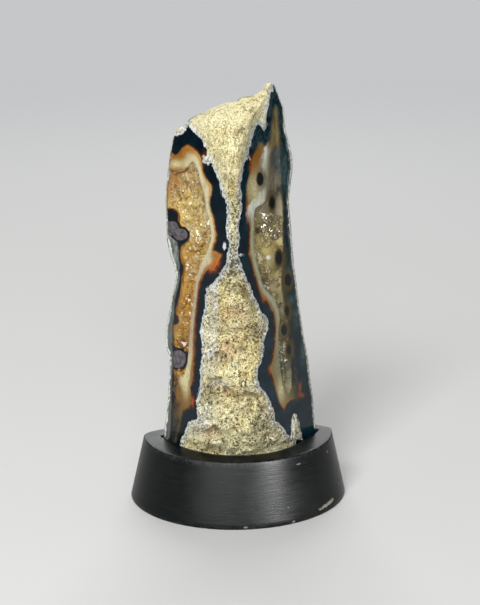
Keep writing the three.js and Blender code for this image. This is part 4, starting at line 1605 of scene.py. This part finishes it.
@dataclass
class CrystalCrust:
    """The quartz points that line one hollow, many and short, with their roots in the stone."""

    name: str
    node: str
    slot: str
    geode: Geode
    cut: CutFace
    outline: tuple
    seed: int
    spacing: float = 1.9
    row_step: float = 0.86
    jitter: float = 0.32
    inside_rim: float = 0.25
    slope_reach: float = 0.5
    radius: float = 1.8
    length: float = 1.6
    tilt: float = 0.19
    root: float = 0.9
    sides: int = 6
    foot_radius: float = 0.92
    shoulder: float = 0.35
    tip: Triple = (0.08, 0.05, 0.65)
    smallest: float = 0.6
    shallow_size: float = 0.35
    full_size_depth: float = 5.0
    size_range: Pair = (0.7, 1.35)
    shortest: float = 0.5
    proud: float = 0.15
    large_share: float = 0.06
    large_size: float = 1.6
    large_tilt: float = 2.0
    fine_above: float = 400.0
    fine_size: float = 0.62
    fine_shade: float = 0.9
    bare_above: float = 400.0
    bare_fade: float = 4.0
    bare_share: float = 1.0
    smooth_share: float = 0.0
    smooth_size: float = 10.0
    smooth_from: Pair = (-0.25, -0.05)

    def template(self) -> bpy.types.Mesh:
        """Models one six-sided point of radius 1 and length 1.

        Returns:
            The mesh, standing on the origin along Z, with its values still empty.
        """
        mesh = bmesh.new()
        made = bmesh.ops.create_circle(mesh, cap_ends=True, segments=self.sides, radius=self.foot_radius)
        bmesh.ops.translate(mesh, verts=made["verts"], vec=Vector((0, 0, -self.root)))
        grown = bmesh.ops.extrude_face_region(mesh, geom=list(mesh.faces))["geom"]
        ring = [item for item in grown if isinstance(item, bmesh.types.BMVert)]
        bmesh.ops.translate(mesh, verts=ring, vec=Vector((0, 0, self.root + self.shoulder)))
        cap = [item for item in grown if isinstance(item, bmesh.types.BMFace)]
        bmesh.ops.delete(mesh, geom=[face for face in mesh.faces if face not in cap and len(face.verts) > 4],
                         context="FACES_ONLY")
        poked = bmesh.ops.poke(mesh, faces=cap)
        bmesh.ops.translate(mesh, verts=poked["verts"], vec=Vector(self.tip))
        bmesh.ops.holes_fill(mesh, edges=[edge for edge in mesh.edges if edge.is_boundary])
        bmesh.ops.recalc_face_normals(mesh, faces=mesh.faces)
        data = bpy.data.meshes.new("quartz_point")
        mesh.to_mesh(data)
        mesh.free()
        for name in ("shade", "bright", "brown"):
            data.attributes.new(name, "FLOAT", "POINT")
        return data

    def scatter(self, low: Array, high: Array, chance: random.Random) -> Array:
        """Scatters spots in staggered rows over a rectangle.

        Args:
            low: The lower left corner, in millimetres.
            high: The upper right corner.
            chance: The source of random numbers.

        Returns:
            Rows of places across and up.
        """
        spots = []
        row, height = 0, low[1]
        while height < high[1]:
            across = low[0] + (row % 2) * self.spacing / 2
            while across < high[0]:
                spots.append((across + chance.uniform(-self.jitter, self.jitter) * self.spacing,
                              height + chance.uniform(-self.jitter, self.jitter) * self.spacing))
                across += self.spacing
            height += self.spacing * self.row_step
            row += 1
        return np.array(spots)

    def floor(self, points: Array) -> tuple[Array, Array]:
        """Returns the distance of points inside the hollow's rim, as seen, and the depth there."""
        inside = self.geode.inside_hollow(self.geode.view.project(points), self.cut.side)
        return inside, self.geode.sunk(points, inside)

    def places(self, chance: random.Random) -> tuple[Array, Array, Array]:
        """Chooses where the crystals stand.

        Args:
            chance: The source of random numbers.

        Returns:
            Points on the cut face, the depth of the floor under each, and the way that the floor faces.
        """
        normal, reach = self.cut.normal, self.slope_reach
        seen = self.geode.view.on_plane(rows(self.outline), normal, self.cut.level)
        sideways = np.cross(normal, (0, 0, 1))
        sideways /= np.linalg.norm(sideways)
        upward = np.cross(sideways, normal)
        flat = np.column_stack((seen @ sideways, seen @ upward))
        spots = self.scatter(flat.min(0), flat.max(0), chance)
        points = normal * self.cut.level + spots[:, :1] * sideways + spots[:, 1:] * upward
        inside, depth = self.floor(points)
        outward = normal + sum((self.floor(points + reach * way)[1] - depth)[:, None] / reach * way
                               for way in (sideways, upward))
        clear = inside_marks(self.geode.view.project(points), BROWN_HOLES) < 0
        keep = (inside > self.inside_rim) & clear
        return points[keep], depth[keep], outward[keep]

    def bare_odds(self, point: Array) -> float:
        """Returns how likely a point's floor is bare, on a smooth swell or near the upper end."""
        upper = self.bare_share * smooth(point[2], self.bare_above - self.bare_fade, self.bare_above)
        swell = smooth(fractal(point[None], self.smooth_size, 2)[0], *self.smooth_from)
        return max(upper, self.smooth_share * swell)

    def stance(self, point: Array, depth: float, outward: Array,
               chance: random.Random) -> tuple[Matrix, float]:
        """Chooses how one crystal stands.

        Args:
            point: The point of the cut face over its root, in millimetres.
            depth: Depth of the floor there.
            outward: The way that the floor faces.
            chance: The source of random numbers.

        Returns:
            The crystal's placement and its shade, from 0 to 1.
        """
        size = max(self.smallest, min(1.0, self.shallow_size + depth / self.full_size_depth))
        size *= chance.uniform(*self.size_range)
        shade, tilt = chance.random(), self.tilt
        if chance.random() < self.large_share:
            size *= self.large_size
            tilt *= self.large_tilt
        if point[2] > self.fine_above:
            size *= self.fine_size
            shade *= self.fine_shade
        aim = Vector(outward).normalized() + Vector([chance.uniform(-tilt, tilt) for _ in range(3)])
        turn = aim.to_track_quat("Z", "Y").to_matrix().to_4x4()
        spin = Matrix.Rotation(chance.uniform(0, math.pi), 4, "Z")
        wide = self.radius * size
        tall = max(self.shortest, min(self.length * size, depth + self.proud))
        place = Matrix.Translation(Vector(point - depth * self.cut.normal))
        return place @ turn @ spin @ Matrix.Diagonal((wide, wide, tall, 1)), shade

    def build(self, material: Material) -> None:
        """Models the crust.

        Args:
            material: The crystals' material.
        """
        chance = random.Random(self.seed)
        template = self.template()
        mesh = bmesh.new()
        for point, depth, outward in zip(*self.places(chance)):
            if chance.random() < self.bare_odds(point):
                continue
            place, shade = self.stance(point, depth, outward, chance)
            seen = self.geode.view.project(point[None])
            copy = template.copy()
            copy.transform(place)
            for name, value in (("shade", shade), ("bright", glow_of_marks(seen, PALE_CRYSTALS)[0]),
                                ("brown", glow_of_marks(seen, BROWN_CRYSTALS)[0])):
                copy.attributes[name].data.foreach_set("value", [value] * len(copy.vertices))
            mesh.from_mesh(copy)
            bpy.data.meshes.remove(copy)
        bpy.data.meshes.remove(template)
        finish_piece(mesh, self.name, material, self.node, level=False)


@dataclass
class Stand:
    """The black stand: a deep rounded front, a shallow rounded back, flared sides and a shaped recess."""

    geode: Geode
    height: float = 39.0
    widest_y: float = 16.0
    bottom: Triple = (65.5, 52, 20)
    top: Triple = (57, 44.5, 14)
    edge_radius: float = 0.8
    edge_turns: tuple[float, ...] = (0, 30, 60, 90)
    bottom_wear: tuple[float, ...] = (0.4, 0.8, 0.8, 0.8)
    top_wear: float = 1.0
    side_rows: int = 14
    rim: tuple[Pair, ...] = ((0.15, 0.35), (0.85, 0.2), (1, 0.9))
    wall: tuple[Pair, ...] = ((0.6, 0.5), (4, 0))
    recess_depth: float = 12.0
    steps: int = 256
    section_steps: int = 97
    recess_centre: Pair = (0, 4)
    play: float = 0.9
    end_play: float = 1.4

    def angles(self) -> Array:
        """Returns the angle of each step around the stand."""
        return 2 * np.pi * np.arange(self.steps) / self.steps

    def ring(self, size: Triple, level: float, inset: float) -> Array:
        """Outline of the stand at a level.

        Args:
            size: Half the width, the depth in front and the depth behind.
            level: The height.
            inset: How far the outline is drawn in.

        Returns:
            The points, in millimetres.
        """
        angle = self.angles()
        depth = np.where(np.sin(angle) < 0, size[1], size[2]) - inset
        return np.column_stack(((size[0] - inset) * np.cos(angle),
                                self.widest_y + depth * np.sin(angle), np.full(self.steps, level)))

    def foot_section(self, v: float) -> Array:
        """Section of the stone at a row, with the play around it.

        Args:
            v: Share of the stone's height.

        Returns:
            Rows of x and y.
        """
        share = np.linspace(0, 1, self.section_steps)
        up = np.full(len(share), v)
        front, part, across = self.geode.front_plain(share, up)
        swell = self.geode.arch(across) * (part == 1)
        front[:, 1] -= swell * along(front[:, 2], self.geode.strip_bulge)
        back, _ = self.geode.back(share[1:-1][::-1], up[1:-1])
        section = np.vstack((front, back))[:, :2]
        tangent = np.roll(section, -1, axis=0) - np.roll(section, 1, axis=0)
        outward = np.column_stack((tangent[:, 1], -tangent[:, 0]))
        outward /= np.linalg.norm(outward, axis=1)[:, None]
        return section + outward * (self.play + self.end_play * np.abs(outward[:, :1]) ** 6)

    def recess_ring(self) -> Array:
        """Outline of the recess, the widest of the stone's sole and of its section at the rim.

        Returns:
            The points at the rim's height, in millimetres.
        """
        rim_row = (self.height - self.geode.sole) / (self.geode.tops[1] - self.geode.sole)
        away = np.column_stack((np.cos(self.angles()), np.sin(self.angles())))
        centre = rows(self.recess_centre)
        reach = np.zeros(self.steps)
        for section in (self.foot_section(0.0), self.foot_section(rim_row)):
            for start, end in zip(section - centre, np.roll(section, -1, axis=0) - centre):
                edge = end - start
                spread = away[:, 0] * edge[1] - away[:, 1] * edge[0]
                spread = np.where(np.abs(spread) < TINY, TINY, spread)
                far = (start[0] * edge[1] - start[1] * edge[0]) / spread
                share = (start[0] * away[:, 1] - start[1] * away[:, 0]) / spread
                reach = np.where((share >= 0) & (share <= 1) & (far > reach), far, reach)
        return np.column_stack((centre + reach[:, None] * away, np.full(self.steps, self.height)))

    def match(self, outer: Array, inner: Array) -> Array:
        """Spreads the points of the inner ring to the angles of the outer one.

        Args:
            outer: Points of the outer ring.
            inner: Points of the inner ring.

        Returns:
            Points of the inner ring, one for each of the outer ring's.
        """
        offsets = [ring[:, :2] - rows(self.recess_centre) for ring in (outer, inner)]
        outer_angle, inner_angle = (np.unwrap(np.arctan2(offset[:, 1], offset[:, 0])) for offset in offsets)
        turns = np.concatenate([inner_angle + 2 * np.pi * turn for turn in (-1, 0, 1)])
        return np.column_stack([np.interp(outer_angle, turns, np.tile(inner[:, axis], 3))
                                for axis in range(3)])

    def profile(self) -> list[tuple[Array, float]]:
        """Lists the rings from the bottom over the rim down to the recess's floor.

        Returns:
            Each ring's points and its wear, from 0 to 1.
        """
        turns = np.radians(self.edge_turns)
        bends = list(zip(self.edge_radius * (1 - np.cos(turns)), self.edge_radius * (1 - np.sin(turns))))
        shapes = [(self.ring(self.bottom, near, far), worn)
                  for (near, far), worn in zip(bends, self.bottom_wear)]
        for share in np.arange(1, self.side_rows) / self.side_rows:
            size = tuple(rows(self.bottom) + share * (rows(self.top) - rows(self.bottom)))
            level = self.edge_radius + (self.height - 2 * self.edge_radius) * share
            shapes.append((self.ring(size, level, 0), 0.0))
        shapes += [(self.ring(self.top, self.height - far, near), self.top_wear) for near, far in bends]
        outer = shapes[-1][0]
        inner = self.match(outer, self.recess_ring())
        shapes += [(outer + (inner - outer) * share, worn) for share, worn in self.rim]
        shapes += [(inner - rows((0, 0, drop)), worn)
                   for drop, worn in (*self.wall, (self.recess_depth, 0))]
        return shapes

    def open_edges(self, mesh: bmesh.types.BMesh, ring: list) -> list:
        """Returns the open edges between the vertices of a ring."""
        chosen = set(ring)
        return [edge for edge in mesh.edges if not edge.is_manifold and chosen.issuperset(edge.verts)]

    def grown_from(self, vert: bmesh.types.BMVert, fresh: set) -> bmesh.types.BMVert:
        """Returns the new vertex that an extrusion made from another one."""
        return next(other for other in (edge.other_vert(vert) for edge in vert.link_edges) if other in fresh)

    def build(self, material: Material) -> None:
        """Models the stand from one ring that is extruded step by step.

        Args:
            material: The stand's material.
        """
        mesh = bmesh.new()
        wear = mesh.verts.layers.float.new("edge")
        circle = bmesh.ops.create_circle(mesh, cap_ends=False, segments=self.steps, radius=1)["verts"]
        first = sorted(circle, key=lambda vert: math.atan2(vert.co.y, vert.co.x) % (2 * math.pi))
        ring = first
        for number, (points, worn) in enumerate(self.profile()):
            if number:
                grown = bmesh.ops.extrude_edge_only(mesh, edges=self.open_edges(mesh, ring))["geom"]
                fresh = {item for item in grown if isinstance(item, bmesh.types.BMVert)}
                ring = [self.grown_from(vert, fresh) for vert in ring]
            for vert, point in zip(ring, points):
                vert.co = point
                vert[wear] = worn
        for outline in (first, ring):
            bmesh.ops.edgeloop_fill(mesh, edges=self.open_edges(mesh, outline))
        bmesh.ops.triangulate(mesh, faces=[face for face in mesh.faces if len(face.verts) > 4])
        bmesh.ops.recalc_face_normals(mesh, faces=mesh.faces)
        finish_piece(mesh, "wooden_stand", material, "stand")


@dataclass(frozen=True)
class Lamp:
    """A soft light that faces a target and isn't itself in view: metres, and its power in watts."""

    name: str
    place: Triple
    target: Triple
    size: Pair
    power: float
    on_dull: bool = True

    def build(self) -> None:
        """Adds the light, which shines on dull surfaces too or shows only in their shine."""
        data = bpy.data.lights.new(self.name, "AREA")
        data.shape = "RECTANGLE"
        data.size, data.size_y = self.size
        data.energy = self.power
        lamp = bpy.data.objects.new(self.name, data)
        place = Vector(self.place)
        aim = (Vector(self.target) - place).to_track_quat("-Z", "Y").to_matrix().to_4x4()
        lamp.matrix_world = Matrix.Translation(place) @ aim
        lamp.visible_camera = False
        lamp.visible_diffuse = self.on_dull
        bpy.context.scene.collection.objects.link(lamp)


LAMPS = (
    Lamp("key", (-0.55, -0.9, 1.15), (0, 0, 0.12), (0.45, 0.45), 15),
    Lamp("front", (-0.1, -1.5, 1), (0, 0, 0.1), (0.9, 0.6), 11),
    Lamp("back", (0.1, 1.5, 1.5), (0, 0, 0.1), (1.6, 0.8), 22),
    Lamp("strip", (0.54, -0.96, 0.26), (0, 0, 0.03), (0.17, 0.5), 34, on_dull=False),
    Lamp("rear panel", (0, 1.3, 0.42), (0, 0, 0.06), (1.8, 0.3), 9, on_dull=False),
    Lamp("panel", (-0.3, -1.06, 0.22), (0, 0, 0.03), (0.8, 0.4), 11, on_dull=False))


@dataclass
class Studio:
    """A plain pale floor, soft lights and a pale sky around the object, in metres."""

    lamps: tuple[Lamp, ...] = LAMPS
    floor_half: float = 12.0
    floor_roughness: float = 0.9
    black: tuple = tone(0, 0, 0)
    pale: tuple = tone(206, 206, 204)
    haze: tuple = tone(198, 199, 201)
    haze_from: Pair = (0.35, 2.0)
    sky: tuple = tone(236, 238, 242)
    sky_light: float = 0.3
    sky_seen: float = 0.67

    def floor_finish(self) -> Material:
        """Makes the floor's material, which turns into haze where it lies far away.

        Returns:
            The material.
        """
        material, board, shader = new_material("pale_floor")
        shader.inputs["Roughness"].default_value = self.floor_roughness
        shader.inputs["Specular IOR Level"].default_value = 0.0
        shader.inputs["Emission Strength"].default_value = 1.0
        away = board.add("ShaderNodeVectorMath", {0: board.place()}, operation="LENGTH").outputs["Value"]
        seen = board.add("ShaderNodeLightPath").outputs["Is Camera Ray"]
        far = board.step(away, *self.haze_from)
        board.feed(shader.inputs["Base Color"], board.mix(far, self.pale, self.black))
        glow = board.mix(board.times(far, seen), self.black, self.haze)
        board.feed(shader.inputs["Emission Color"], glow)
        return material

    def build(self) -> None:
        """Makes the floor, the lights and the world."""
        mesh = bmesh.new()
        bmesh.ops.create_grid(mesh, x_segments=1, y_segments=1, size=self.floor_half)
        data = bpy.data.meshes.new("floor")
        mesh.to_mesh(data)
        mesh.free()
        data.materials.append(self.floor_finish())
        floor = bpy.data.objects.new("floor", data)
        bpy.context.scene.collection.objects.link(floor)
        for lamp in self.lamps:
            lamp.build()
        world = bpy.data.worlds.new("pale_sky")
        world.use_nodes = True
        board = Board(world.node_tree)
        background = world.node_tree.nodes["Background"]
        background.inputs[0].default_value = self.sky
        seen = board.add("ShaderNodeLightPath").outputs["Is Camera Ray"]
        board.feed(background.inputs[1], board.step(seen, 0.0, 1.0, self.sky_light, self.sky_seen))
        bpy.context.scene.world = world
        bpy.context.scene.view_settings.view_transform = "Standard"


def main() -> None:
    """Builds the object around the frame."""
    logging.basicConfig(level=logging.INFO, format="%(name)s: %(message)s")
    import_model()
    view = PhotoView()
    view.add_camera()
    Studio().build()
    speckles, bands = speckle_group(), band_group()
    geode = Geode(view)
    geode.build(StoneFinish(bands).make())
    CrystalCrust("golden_points", "left_crystals", "golden_crystals", geode, LEFT_CUT, LEFT_HOLLOW,
                 11, fine_above=181, bare_above=191, bare_share=0.75, smooth_share=0.35).build(GOLDEN.make())
    CrystalCrust("grey_points", "right_crystals", "grey_crystals", geode, RIGHT_CUT, RIGHT_HOLLOW,
                 23, spacing=1.6, radius=1.7, length=1.3, tilt=0.15, large_share=0.01, fine_above=178,
                 bare_above=184, smooth_share=0.93).build(GREY.make())
    Stand(geode).build(LacquerFinish(speckles).make())


if __name__ == "__main__":
    main()
